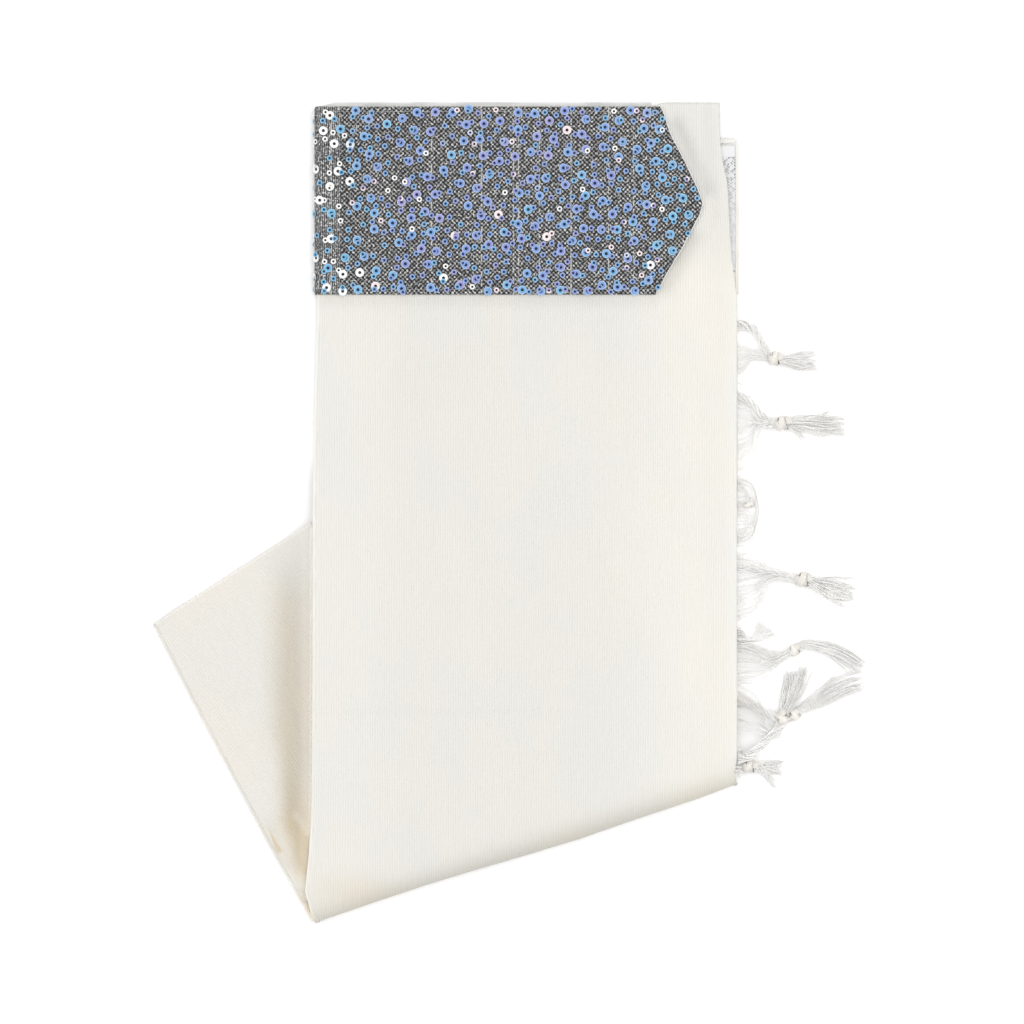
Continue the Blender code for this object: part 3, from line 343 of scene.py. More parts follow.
def makeClothFinish(name, colour, warm, depth=0.0002, toneShare=0.068):
    finish, tree, shader = newFinish(name, 0.92, 0.08)
    weave = useGroup(tree, ribWeave, Place=clothPlace(tree))
    patch = mapRange(tree, weave["Patches"], 0.35, 0.65)
    tone = plus(tree, 1.0, times(tree, weave["Tone"], toneShare))
    tone = plus(tree, tone, swing(tree, patch, 0.012))
    shade = tree.nodes.new("ShaderNodeCombineXYZ")
    for socket in shade.inputs:
        link(tree, tone, socket)
    shown = mixColour(tree, 1.0, mixColour(tree, patch, colour, warm), shade.outputs[0],
                      "MULTIPLY")
    # painted warm shade where light has to come through and in the slit, painted grey shade in
    # dips, and painted light at thin folded edges
    warmShadeMask = maths(tree, "MAXIMUM", attributeAt(tree, "paintedWarmShade"), slitShadeMask(tree))
    for share, tint in ((warmShadeMask, "warm"), (attributeAt(tree, "paintedGreyShade"), "greyShade"),
                        (attributeAt(tree, "paintedLight"), "thin")):
        shown = mixColour(tree, share, shown, clothTints[tint], "MULTIPLY")
    giveLook(tree, shader, shown, weave["Height"], depth)
    return finish


def paint(piece, name, shareAt):
    # a share at each point, read by the finish
    layer = piece.data.attributes.new(name, "FLOAT", "POINT")
    for point, vertex in zip(layer.data, piece.data.vertices):
        point.value = shareAt(vertex.co.x / mm, vertex.co.y / mm)


shawlCloth = makeClothFinish("shawlCloth", (0.648, 0.640, 0.609), (0.658, 0.638, 0.592))
# the leg's cloth is the shawl's cloth painted a little lighter, for the light on the leg
legClothPaintedLighter = makeClothFinish("legClothPaintedLighter", (0.666, 0.652, 0.614), (0.681, 0.650, 0.594), 0.00023, 0.10)
hiddenCloth = makeClothFinish("hiddenCloth", (0.64, 0.625, 0.585), (0.65, 0.625, 0.57))
print("shawl cloth mixed")


# the strip: its outline, its drape over the leg and its front panel
strip = {
    "leftEdge": [(216.9, -104.2), (116.0, -104.2), (60.0, -105.6), (0.0, -106.3),
                 (-150.0, -107.0), (-180.0, -108.3), (-196.0, -109.8), (-203.0, -110.3),
                 (-208.5, -108.6), (-214.0, -107.2), (-219.2, -104.4)],
    "rightEdge": [(218.7, 111.1), (200.5, 111.3), (189.3, 112.4), (175.0, 115.1),
                  (158.0, 116.1), (138.6, 117.2), (129.0, 118.3), (114.0, 120.1),
                  (0.0, 120.2), (-145.0, 119.9)],
    "topY": (216.9, 218.7), "topStep": (74.0, 82.0), "lowY": (-219.2, -145.0),
    "lowCorners": ((-104.4, -219.2), (119.9, -145.0)),
    "lowBow": [(118.0, -0.4), (100.0, -1.3), (62.0, -1.4), (36.0, -1.9), (15.0, -1.3),
               (-10.0, -0.5), (-25.0, 0.1), (-45.0, 0.6), (-75.0, 0.5), (-98.0, 0.2),
               (-105.0, 0.0)],
    "height": 6.6, "legLift": 6.3, "topRamp": 52.0, "underRamp": (14.0, 30.0),
    "clearance": 1.6, "slantLow": 0.25, "foldRound": 2.0, "underRound": 2.6,
    "slantRound": 8.0, "rightRound": 16.0, "tightest": 1.65, "cornerBlend": 10.0,
    "rightBlend": 16.0, "wall": 0.9, "columns": 112, "rows": 206, "foldRings": 12,
    "foldCloth": 4.8, "lowRelax": 0.25, "topRelax": 0.9,
    "rightSlope": [(16.0, 0.0), (11.0, 0.08), (7.0, 0.22), (4.0, 0.42), (2.0, 0.62),
                   (0.8, 0.84), (0.0, 1.2)],
}
leg = {
    "foldEdge": [(-60.1, -192.0), (-100.7, -171.2), (-170.1, -134.3), (-209.0, -113.0)],
    "corner": (-192.0, -60.1), "hiddenCorner": (-2.4, 62.2), "innerRight": (113.0, -143.9),
    "height": 6.0, "fineAcross": 118.0, "columns": 112, "farColumns": 8, "rows": 132,
    "endRound": 4.0, "cornerBlend": 14.0, "wall": 0.9, "foldRings": 10,
    "endSlope": [(4.0, 0.0), (2.6, 0.15), (1.5, 0.4), (0.8, 0.7), (0.3, 1.05), (0.0, 1.5)],
    # y, then x, depth and width of the valley beside the panel
    "valley": [(-15.0, -124.0, 0.0, 9.0), (-60.0, -119.5, 1.0, 8.0),
               (-130.0, -118.0, 1.8, 6.5), (-170.0, -116.6, 2.0, 6.0),
               (-195.0, -115.8, 0.6, 6.0), (-209.0, -115.8, 0.0, 6.0)],
    # y, then the grey and the warm share of its painted shade, and the x of its middle
    "shade": [(-8.0, 0.0, 0.0, -117.6), (-26.0, 0.45, 0.05, -118.6),
              (-47.0, 0.8, 0.3, -119.0), (-69.0, 0.8, 0.45, -119.2), (-90.0, 0.75, 0.6, -119.2),
              (-133.0, 0.65, 0.7, -118.6), (-154.0, 0.75, 0.85, -117.6),
              (-165.0, 0.6, 1.0, -117.4), (-175.0, 0.35, 1.0, -113.4),
              (-186.0, 0.1, 1.0, -111.6), (-193.0, 0.0, 0.8, -110.8), (-199.0, 0.0, 0.4, -110.4),
              (-206.0, 0.0, 0.5, -111.0)],
    "facet": (-115.4, -162.0, -109.2, -171.4), "ribAngle": 56.0, "towardsPanel": 2.3,
    "cornerRound": 1.6, "foldRun": (80.0, 149.0),
}
# soft creases: x, y of both ends, width, depth (a ridge where depth is negative)
frontCreases = [
    (85.7, 213.0, 106.5, 171.5, 4.5, 0.75), (95.5, 157.0, 86.0, 136.0, 4.5, 0.7),
    (86.0, 212.0, 99.0, 186.0, 1.6, 0.35), (108.0, 214.0, 110.0, 186.0, 5.0, 0.4),
    (-102.0, -105.4, 31.0, -105.0, 0.9, -0.3), (-102.0, -107.6, 31.0, -107.2, 1.0, 0.22),
    (-74.5, -106.0, -74.0, -199.0, 0.9, 0.28), (30.2, -60.0, 30.6, -190.0, 0.9, 0.24),
    (-60.0, 110.0, -66.0, 20.0, 7.0, 0.4), (40.0, 112.0, 62.0, 30.0, 9.0, 0.5),
    (100.0, 60.0, 104.0, -90.0, 6.0, 0.5), (-30.0, 20.0, -8.0, -90.0, 10.0, 0.4),
]
legCreases = [
    (-128.0, -171.0, -121.6, -183.4, 1.3, 0.9), (-122.0, -71.0, -108.5, -140.0, 1.2, -0.3),
    (-171.0, -84.0, -140.0, -140.0, 4.0, 0.35), (-150.0, -48.0, -128.0, -92.0, 3.0, 0.3),
    (-178.0, -66.0, -126.0, -32.0, 1.2, 0.25),
]


def outsideLine(point, start, stop):
    along = (stop[0] - start[0], stop[1] - start[1])
    return ((along[0] * (point[1] - start[1]) - along[1] * (point[0] - start[0]))
            / math.hypot(*along))


def outsideLeg(x, y):
    pastEnd = outsideLine((x, y), leg["corner"], leg["hiddenCorner"])
    pastRight = outsideLine((x, y), leg["hiddenCorner"], leg["innerRight"])
    if pastEnd > 0.0 and pastRight > 0.0:
        return math.hypot(pastEnd, pastRight)
    return max(pastEnd, pastRight)


def stripGround(x, y):
    low, high = strip["underRamp"]
    return strip["legLift"] * (1.0 - ramp(outsideLeg(x, y), low, high))


def creaseHeight(creases, x, y):
    total = 0.0
    for *ends, width, depth in creases:
        off, past = fromLine(x, y, *ends)
        if abs(off) < width * 3.0 and past < width * 3.0:
            past /= width
            total -= depth * math.exp(-(off / width) ** 2 - past * past * 0.6)
    return total


def slackness(x, y, seed, size=34.0, depth=0.32):
    # slow unevenness of cloth that was pressed and has relaxed: wide waves, and narrower ones
    wide = noise.noise(Vector((x / size, y / (size * 1.7), seed)))
    narrow = noise.noise(Vector((x / (size * 0.36), y / (size * 0.8), seed + 7.3)))
    return depth * (wide + 0.35 * narrow)


def stripTop(x, y):
    lift = strip["legLift"] * (1.0 - smooth(outsideLeg(x, y) / strip["topRamp"]))
    return strip["height"] + lift


def stripSurface(x, y):
    # the band holds the cloth under it flatter
    underBand = ramp(y, 112.0, 118.0) * ramp(x, 104.0, 98.0)
    slack = (slackness(x, y, 2.0) - 0.25) * mix(1.0, 0.25, underBand)
    return stripTop(x, y) + slack + creaseHeight(frontCreases, x, y)


def stripPlan(u, v):
    leftY = mix(strip["lowY"][0], strip["topY"][0], v)
    rightY = mix(strip["lowY"][1], strip["topY"][1], v)
    x = mix(curveAt(strip["leftEdge"], leftY), curveAt(strip["rightEdge"], rightY), u)
    # the low edge's bow and the top edge's step fade out a little way into the strip
    bow = lineAt(strip["lowBow"], x) * (1.0 - smooth(v / strip["lowRelax"]))
    step = mix(*strip["topY"], ramp(x, *strip["topStep"])) - mix(*strip["topY"], u)
    return x, mix(leftY, rightY, u) + bow + step * smooth((v - strip["topRelax"]) / 0.1)


def foldPoint(angle, top, low, reach, under):
    half = (top - low) / 2.0
    reach = min(reach if angle >= 0 else under, half * half / strip["tightest"])
    turn = math.radians(angle)
    return reach * (1.0 - math.cos(turn)), (top + low) / 2.0 + half * math.sin(turn)


lowRun = [stop - start for start, stop in zip(*strip["lowCorners"])]
slantAngle = math.atan2(lowRun[1], lowRun[0])
free = 99.0  # stands for the height of a place that no fold has bent down


def stripColumn(u):
    return mix(strip["topY"][0] - strip["lowY"][0], strip["topY"][1] - strip["lowY"][1], u)


def ribPlace(x, y):
    # the ribs lean over to the right beside the neckband's point
    lean = 2.4 * math.exp(-((x - 106.0) / 11.0) ** 2) * ramp(y, 186.0, 136.0)
    return x - lean * ramp(y, 60.0, 120.0)


def makeShawlFront():
    angles = spread(-60.0, 90.0, strip["foldRings"] + 1)[:-1]
    flat = spread(0.0, 1.0, strip["columns"])
    columns = ([("left", angle) for angle in angles] + [("flat", share) for share in flat]
               + [("right", k) for k in range(1, len(strip["rightSlope"]))])
    rows = [("slant", angle) for angle in angles]
    rows += [("flat", share) for share in spread(0.0, 1.0, strip["rows"])]
    rightAngles = spread(90.0, -58.0, len(strip["rightSlope"]))
    points, places = [], []
    for side, place in columns:
        guess = {"left": 0.0, "right": 1.0}.get(side, place)
        for edge, step in rows:
            # the row first: how far up the strip, and the slanted fold's height
            column = stripColumn(guess) * math.cos(slantAngle)
            slantZ = free
            if edge == "slant":
                x, y = stripPlan(guess, strip["slantRound"] / column)
                inset, slantZ = foldPoint(step, stripSurface(x, y), strip["slantLow"],
                                          strip["slantRound"], strip["underRound"])
                v = inset / column
            else:
                start = strip["slantRound"] / column
                v = mix(start, 1.0, step)
            left, right = stripPlan(0.0, v), stripPlan(1.0, v)
            width = math.dist(left, right)
            sideZ = free
            if side == "left":
                inner = stripPlan(strip["foldRound"] / width, v)
                away = math.dist(left, strip["lowCorners"][0])
                low = mix(strip["slantLow"], stripGround(*left) + strip["clearance"],
                          smooth(away / strip["cornerBlend"]))
                inset, sideZ = foldPoint(place, stripSurface(*inner), low,
                                         strip["foldRound"], strip["underRound"])
                u = inset / width
            elif side == "right":
                inner = stripPlan(1.0 - strip["rightRound"] / width, v)
                away = smooth(math.dist(right, strip["lowCorners"][1]) / strip["rightBlend"])
                top = stripSurface(*inner)
                inset, sideZ = foldPoint(rightAngles[place], top, strip["slantLow"],
                                         strip["rightRound"], strip["underRound"])
                slopeIn, drop = strip["rightSlope"][place]
                inset = mix(inset, slopeIn, away)
                sideZ = mix(sideZ, top - drop, away)
                u = 1.0 - inset / width
            else:
                u = mix(strip["foldRound"], width - strip["rightRound"], place) / width
            x, y = stripPlan(u, v)
            z = min(sideZ, slantZ)
            points.append((x, y, stripSurface(x, y) if z == free else z))
            around = (90.0 - place) / 90.0 * strip["foldCloth"] if side == "left" else 0.0
            places.append((ribPlace(x, y) - around, y))
    piece = makePiece("shawl_front", points, gridFaces(len(columns), len(rows)), places,
                      shawlCloth)
    return giveWall(piece, strip["wall"])


shawlFront = makeShawlFront()
# x, y of both ends, width and share of each line of painted shade; a negative share paints light
# instead
frontShadeLines = [
    (88.0, 207.0, 104.0, 172.0, 4.2, 0.9), (96.0, 146.0, 81.5, 121.0, 5.0, 0.9),
    (104.6, 214.0, 109.5, 158.0, 2.6, 0.22), (-99.0, 112.8, 76.0, 112.8, 3.4, 0.30),
    (-102.0, -220.5, 122.0, -147.0, 9.0, 0.95), (116.8, -60.0, 116.8, 120.0, 2.0, -0.2),
]


def paintedShadeShare(x, y):
    total = 0.0
    for *ends, width, share in frontShadeLines:
        off, past = (distance / width for distance in fromLine(x, y, *ends))
        total += share * math.exp(-off * off - past * past)
    return min(max(total, 0.0), 1.0)


def paintedLightShare(x, y):
    # painted light along the left fold, and below the band a little towards both sides
    edge = 1.0 - smooth((x - curveAt(strip["leftEdge"], y) - 0.4) / 1.9)
    toRight, toLeft = 0.24 * ramp(x, 40.0, 100.0), 0.09 * ramp(x, -50.0, -90.0)
    return edge + (toRight + toLeft) * ramp(y, 150.0, 120.0)


def warmShadeShare(x, y):
    # painted warm shade along the slanted fold, most near its left end, and a little towards the
    # right
    away = outsideLine((x, y), (-102.0, -220.5), (122.0, -147.0)) / 9.0
    nearEnd = ((x + 84.0) / 22.0) ** 2 + ((y + 202.0) / 9.0) ** 2
    toRight = ramp(x, 40.0, 100.0) * ramp(x, 118.0, 112.0)
    toRight *= 0.1 * ramp(y, 150.0, 120.0)
    return 0.28 * math.exp(-away * away) + 0.33 * math.exp(-nearEnd) + toRight


# painted warm shade, painted grey shade and painted light on the front panel
paint(shawlFront, "paintedWarmShade", warmShadeShare)
paint(shawlFront, "paintedGreyShade", paintedShadeShare)
paint(shawlFront, "paintedLight", paintedLightShare)
print("front panel laid")


# the leg that comes out at the lower left
def legTop(x, y):
    depth = lineAt(leg["valley"], y, 2)
    away = (x - lineAt(leg["valley"], y, 1)) / lineAt(leg["valley"], y, 3)
    return leg["height"] - depth * math.exp(-away * away)


def legSurface(x, y):
    under = smooth((x - curveAt(strip["leftEdge"], y) - 0.2) / 2.4)
    slack = (slackness(x, y, 11.0, 26.0, 0.28) - 0.2) * (1.0 - under)
    # the cloth climbs to the panel that crosses it
    climb = ramp(x, -118.0, -109.0) * ramp(y, -206.0, -186.0)
    slack += leg["towardsPanel"] * climb * (1.0 - under)
    return legTop(x, y) + slack + creaseHeight(legCreases, x, y) * (1.0 - under) - 0.2 * under


def legPlan(u, v):
    foldY = mix(leg["foldEdge"][-1][0], leg["foldEdge"][0][0], v)
    x0 = curveAt(leg["foldEdge"], foldY)
    x1 = mix(leg["innerRight"][0], leg["hiddenCorner"][0], v)
    y1 = mix(leg["innerRight"][1], leg["hiddenCorner"][1], v)
    return mix(x0, x1, u), mix(foldY, y1, u)


def makeShawlLeg():
    angles = spread(-52.0, 90.0, leg["foldRings"] + 1)[:-1]
    fine = spread(strip["foldRound"], leg["fineAcross"], leg["columns"])
    columns = [("fold", angle) for angle in angles] + [("flat", inset) for inset in fine]
    columns += [("far", share) for share in spread(0.0, 1.0, leg["farColumns"])[1:]]
    rows = [("flat", share**1.25) for share in spread(0.0, 1.0, leg["rows"])]
    rows += [("end", k) for k in range(1, len(leg["endSlope"]))]
    endAngles = spread(90.0, -52.0, len(leg["endSlope"]))
    length = math.hypot(*leg["foldRun"])
    lean = math.radians(leg["ribAngle"])
    points, places = [], []
    for side, place in columns:
        for edge, step in rows:
            v = mix(0.0, 1.0 - leg["endRound"] / length, step) if edge == "flat" else 1.0
            left, right = legPlan(0.0, v), legPlan(1.0, v)
            width = math.dist(left, right)
            foldZ = free
            if side == "fold":
                top = legSurface(*legPlan(strip["foldRound"] / width, min(v, 0.97)))
                inset, foldZ = foldPoint(place, top, strip["slantLow"], strip["foldRound"],
                                         strip["underRound"])
            elif side == "far":
                inset = mix(leg["fineAcross"], width, place)
            else:
                inset = place
            endZ = free
            if edge == "end":
                inner = legPlan(inset / width, 1.0 - leg["endRound"] / length)
                top = legSurface(*inner)
                slopeIn, drop = leg["endSlope"][step]
                foldIn, foldEndZ = foldPoint(endAngles[step], top, strip["slantLow"],
                                             leg["endRound"], strip["underRound"])
                away = smooth(inset / leg["cornerBlend"])
                v = 1.0 - mix(foldIn, slopeIn, away) / length
                endZ = mix(foldEndZ, top - drop, away)
            inX, inY = leg["cornerRound"] - inset, leg["cornerRound"] - (1.0 - v) * length
            if inX > 0.0 and inY > 0.0:
                shrink = max(inX, inY) / math.hypot(inX, inY)
                v = 1.0 - (leg["cornerRound"] - inY * shrink) / length
                x, y = legPlan((leg["cornerRound"] - inX * shrink) / width, v)
            else:
                x, y = legPlan(inset / width, v)
            z = min(foldZ, endZ)
            points.append((x, y, legSurface(x, y) if z == free else z))
            around = (90.0 - place) / 90.0 * strip["foldCloth"] if side == "fold" else 0.0
            places.append((x * math.sin(lean) + y * math.cos(lean) - around,
                           y * math.sin(lean) - x * math.cos(lean)))
    piece = makePiece("shawl_leg", points, gridFaces(len(columns), len(rows)), places, legClothPaintedLighter)
    return giveWall(piece, leg["wall"])


shawlLeg = makeShawlLeg()


def valleyShade(x, y, right, column):
    # strongest in the valley's middle, softer to the left, and to the right as wide as asked
    off = x - lineAt(leg["shade"], y, 3)
    left = mix(mix(9.5, 6.4, ramp(y, -116.0, -136.0)), 5.2, ramp(y, -172.0, -184.0))
    off /= left if off < 0.0 else right
    # a small fold catches the light across the valley's lower end
    across, past = fromLine(x, y, *leg["facet"])
    across, past = across / 2.5, past / 2.0
    facet = 0.42 * math.exp(-across * across - past * past)
    return math.exp(-off * off) * lineAt(leg["shade"], y, column) * (1.0 - facet)


# painted warm and grey shade in the valley beside the panel, and a little warm shade low on the
# leg
paint(shawlLeg, "paintedWarmShade", lambda x, y: valleyShade(x, y, 12.0, 2)
      + 0.2 * ramp(y, -156.0, -172.0) * ramp(y, -200.0, -190.0))
paint(shawlLeg, "paintedGreyShade", lambda x, y: valleyShade(x, y, mix(
    8.5, 4.5, ramp(y, -122.0, -150.0)), 1))


def legPaintedLight(x, y):
    # painted light low down by the panel, in a pocket, at the leg's end and along its fold
    reach = mix(-114.0, -110.0, ramp(y, -188.0, -196.0))
    lower = 0.34 * ramp(y, -186.0, -198.0) * (1.0 - smooth((x - reach) / 2.5))
    pocket = 0.2 * ramp(x, -115.0, -112.0) * ramp(y, -158.0, -170.0)
    end = 0.5 * smooth((outsideLine((x, y), leg["corner"], leg["hiddenCorner"]) + 1.5) / 1.2)
    side = 0.7 * (1.0 - smooth((x - curveAt(leg["foldEdge"], y) - 0.4) / 1.5))
    # painted light on the leg beside the panel's edge, for light that comes through that edge
    beside = smooth((x - curveAt(strip["leftEdge"], y) + 1.7) / 1.2) * ramp(y, -184.0, -162.0)
    return min(lower + pocket + end + side + beside, 1.0)


paint(shawlLeg, "paintedLight", legPaintedLight)


# the end of the leg's fold, a sliver beside the panel's corner
tip = {
    "leftEdge": [(-199.0, -117.6), (-218.9, -107.5)], "rings": 28, "under": 0.6, "floor": 0.3,
    "half": (1.2, 2.4), "taper": (-220.0, -214.0),
    # its section: share of the way across, and height from -1 to 1
    "section": [(0.0, -1.0), (0.04, -0.4), (0.0, 0.3), (0.12, 0.8), (0.35, 1.0), (0.7, 0.9),
                (1.0, 0.85), (1.0, -0.6), (0.6, -1.0)],
}


def makeLegTip():
    rowsY = spread(*[y for y, _ in tip["leftEdge"]], tip["rings"])
    points = []
    for y in rowsY:
        left = lineAt(tip["leftEdge"], y)
        right = curveAt(strip["leftEdge"], y) + tip["under"]
        half = mix(*tip["half"], ramp(y, *tip["taper"]))
        for share, level in tip["section"]:
            points.append((mix(left, right, share), y, tip["floor"] + half * (1.0 + level)))
    piece = makePiece("leg_tip", points, tubeFaces(len(rowsY), len(tip["section"]), True),
                      [p[:2] for p in points], legClothPaintedLighter)
    # painted warm shade, most at its right end, and painted light all over
    paint(piece, "paintedWarmShade", lambda x, y: 0.25 + 0.6 * ramp(x, -112.0, -109.5)
          * math.exp(-((y + 210.5) / 4.5) ** 2))
    paint(piece, "paintedLight", lambda x, y: 0.8)
    return piece


legTip = makeLegTip()
print("leg laid")


# hidden layers: closed, round-edged shells stacked under a panel
layerRim = [0.0, 0.55, 0.88, 1.0]  # share of full thickness, step by step in from the edge
# each stack's size, and how far in each of its layers ends
hidden = {"stripSize": (225.0, 400.0), "stripEnds": (0.35, -0.5, 0.3, -0.35, 0.5),
          "legSize": (225.0, 169.0), "legEnds": (0.4, 0.8, 0.3, 0.9, 0.5), "room": 0.75}


def addLayer(points, faces, plan, middle, half):
    # plan[i, j] is x, y of each place of the layer
    columns, rows = plan.shape[:2]
    number = {}
    for side in (1, -1):
        for i in range(columns):
            for j in range(rows):
                deep = min(i, j, columns - 1 - i, rows - 1 - j)
                if deep == 0 and side == -1:
                    number[(side, i, j)] = number[(1, i, j)]
                    continue
                x, y = plan[i, j]
                thick = half(x, y) * layerRim[min(deep, len(layerRim) - 1)]
                number[(side, i, j)] = len(points)
                points.append((x, y, middle(x, y) + side * thick))
    for i in range(columns - 1):
        for j in range(rows - 1):
            square = [(i, j), (i + 1, j), (i + 1, j + 1), (i, j + 1)]
            faces.append([number[(1, *p)] for p in square])
            faces.append([number[(-1, *p)] for p in square[::-1]])


def stackLayers(name, plans, finish, roomAt, groundAt=lambda x, y: 0.0, gap=0.05, most=9.0):
    # the layers share the room over the ground, each at most twice most thick
    points, faces = [], []
    for k, plan in enumerate(plans):
        addLayer(points, faces, plan,
                 lambda x, y: groundAt(x, y) + roomAt(x, y) * (k + 0.5) / len(plans),
                 lambda x, y: min(roomAt(x, y) / len(plans) * 0.5 - gap, most))
    return makePiece(name, points, faces, [p[:2] for p in points], finish)


def layerPlan(planAt, sizes, insets, seed, wander, pitch=6.0):
    # insets are left, right, low, high, each a function of the share along that side
    rimSteps = [0.0, 0.1, 0.32, 0.8]
    across, along = (rimSteps + spread(3.0, size - 3.0, int(size / pitch))
                     + [size - step for step in reversed(rimSteps)] for size in sizes)
    width, length = sizes
    plan = np.zeros((len(across), len(along), 2))
    left, right, low, high = insets
    for i, a in enumerate(across):
        for j, b in enumerate(along):
            u, v = a / width, b / length
            drift = [wander * noise.noise(Vector((place / 23.0, seed * 3.7, side)))
                     for side, place in ((1.5, b), (2.5, b), (3.5, a), (4.5, a))]
            u0 = (left(v) + drift[0]) / width
            u1 = 1.0 - (right(v) + drift[1]) / width
            v0 = (low(u) + drift[2]) / length
            v1 = 1.0 - (high(u) + drift[3]) / length
            plan[i, j] = planAt(mix(u0, u1, u), mix(v0, v1, v))
    return plan


def makeStripFolds():
    plans = []
    for k, rightEdge in enumerate(hidden["stripEnds"]):
        def leftIn(v):
            # the top layer shows at the neckband's fold
            y = mix(strip["lowY"][0], strip["topY"][0], v)
            return 5.2 if k > 0 or y < -185.0 else mix(0.7, 5.6, ramp(y, 100.0, 112.0))

        def rightIn(v):
            # in at the fringed corner, and in again at the low end
            y = mix(strip["lowY"][1], strip["topY"][1], v)
            lowEnd = mix(4.0, 0.0, ramp(y, -133.0, -123.0))
            return max(rightEdge + 10.6 * ramp(y, 101.0, 113.0), lowEnd)

        plans.append(layerPlan(stripPlan, hidden["stripSize"], (
            leftIn, rightIn, lambda u: 8.5, lambda u: 3.6 - 0.3 * (k % 2)), k + 1.0, 0.5))
    return stackLayers(
        "strip_folds", plans, hiddenCloth,
        lambda x, y: stripTop(x, y) - strip["wall"] - hidden["room"] - stripGround(x, y),
        stripGround, 0.05, 0.62)


def makeLegFolds():
    plans = [layerPlan(legPlan, hidden["legSize"], (
        lambda v: 5.0, lambda v: 0.5, lambda u: 1.0,
        lambda u: mix(4.5, endEdge, ramp(u, 0.05, 0.1))), k + 21.0, 0.4)
        for k, endEdge in enumerate(hidden["legEnds"])]
    return stackLayers("leg_folds_cloth", plans, hiddenCloth,
                       lambda x, y: legTop(x, y) - leg["wall"] - hidden["room"], gap=0.04,
                       most=0.5)


stripFolds = makeStripFolds()
legFolds = makeLegFolds()
print("hidden layers stacked")


# the neckband: charcoal and grey basket weave on the top edge
band = {
    "lowY": 116.1, "highY": 216.5, "wall": 0.9, "lift": 1.35, "columns": 104, "rows": 56,
    "wrapRings": 12, "edgeDrop": 0.4, "edge": 1.1, "wrapCloth": 7.6, "wrapBlend": 12.0,
    "end": [(216.5, 79.0), (214.4, 80.4), (202.6, 84.1), (186.1, 92.6), (172.2, 99.1),
            (164.7, 101.7), (158.9, 100.1), (140.7, 90.5), (127.4, 82.5), (116.1, 76.6)],
    "slubs": [-96.6, -43.0, -16.2, 0.8, 3.5, 14.6, 31.5, 51.6, 64.9], "weavePitch": 0.00120,
}
bandColours = {"gap": (0.010, 0.010, 0.012), "yarn": (0.14, 0.14, 0.141),
               "paleYarn": (0.228, 0.228, 0.224), "fleck": (0.60, 0.60, 0.59),
               "slub": (0.57, 0.57, 0.55)}


def makeBasketWeave():
    tree, given, out = newNodes(
        "basketWeave", "ShaderNodeTree",
        [("Place", "Vector"), ("Pitch", "Float", band["weavePitch"])],
        [("Height", "Float"), ("Light Yarn", "Float"), ("Slub", "Float")])
    place = given["Place"]
    x, y, _ = split(tree, place)
    shift = swing(tree, noiseAt(tree, place, (260.0, 260.0)), 0.0011)
    u = maths(tree, "DIVIDE", plus(tree, x, shift), given["Pitch"])
    v = maths(tree, "DIVIDE", minus(tree, y, shift), given["Pitch"])
    checks = times(tree, maths(tree, "SINE", times(tree, u, math.pi)),
                   maths(tree, "SINE", times(tree, v, math.pi)))
    cloud = noiseAt(tree, place, (620.0, 620.0))
    checks = plus(tree, checks, swing(tree, cloud, 2.4))
    # beside the fold the yarns lie close, in upright lines
    upright = plus(tree, times(tree, maths(tree, "SINE", times(tree, u, 7.1)), 0.45), 0.2)
    checks = mixValue(tree, mapRange(tree, x, -0.0908, -0.0920), checks,
                      plus(tree, upright, swing(tree, cloud, 2.0)))
    light = mapRange(tree, checks, -0.32, 0.48)
    lines = None
    for slub in band["slubs"]:
        off = maths(tree, "ABSOLUTE", minus(tree, x, slub * mm))
        mask = mapRange(tree, off, 0.00022, 0.00055, 1.0, 0.0)
        lines = mask if lines is None else maths(tree, "MAXIMUM", lines, mask)
    dash = noiseAt(tree, place, (150.0, 520.0), 1.0)
    lines = times(tree, lines, mapRange(tree, dash, 0.44, 0.58))
    link(tree, plus(tree, times(tree, light, 0.7), lines), out["Height"])
    link(tree, light, out["Light Yarn"])
    link(tree, lines, out["Slub"])
    return tree


def makeBandFinish():
    finish, tree, shader = newFinish("bandBasket", 0.85)
    place = clothPlace(tree)
    weave = useGroup(tree, makeBasketWeave(), Place=place)
    uneven = mapRange(tree, noiseAt(tree, place, (35.0, 60.0), 3.0), 0.3, 0.7)
    yarn = mixColour(tree, uneven, bandColours["yarn"], bandColours["paleYarn"])
    fleck = mapRange(tree, noiseAt(tree, place, (900.0, 900.0), 1.0), 0.50, 0.66)
    yarn = mixColour(tree, fleck, yarn, bandColours["fleck"])
    base = mixColour(tree, weave["Light Yarn"], bandColours["gap"], yarn)
    base = mixColour(tree, times(tree, weave["Slub"], 0.8), base, bandColours["slub"])
    giveLook(tree, shader, base, weave["Height"], 0.00022)
    return finish


def bandTop(x, y):
    waves = 0.22 * noise.noise(Vector((x / 21.0, y / 17.0, 40.0)))
    return strip["height"] + band["lift"] + waves


def bandEdgeDrop(distance):
    return band["edgeDrop"] * (1.0 - smooth(distance / band["edge"])) ** 2


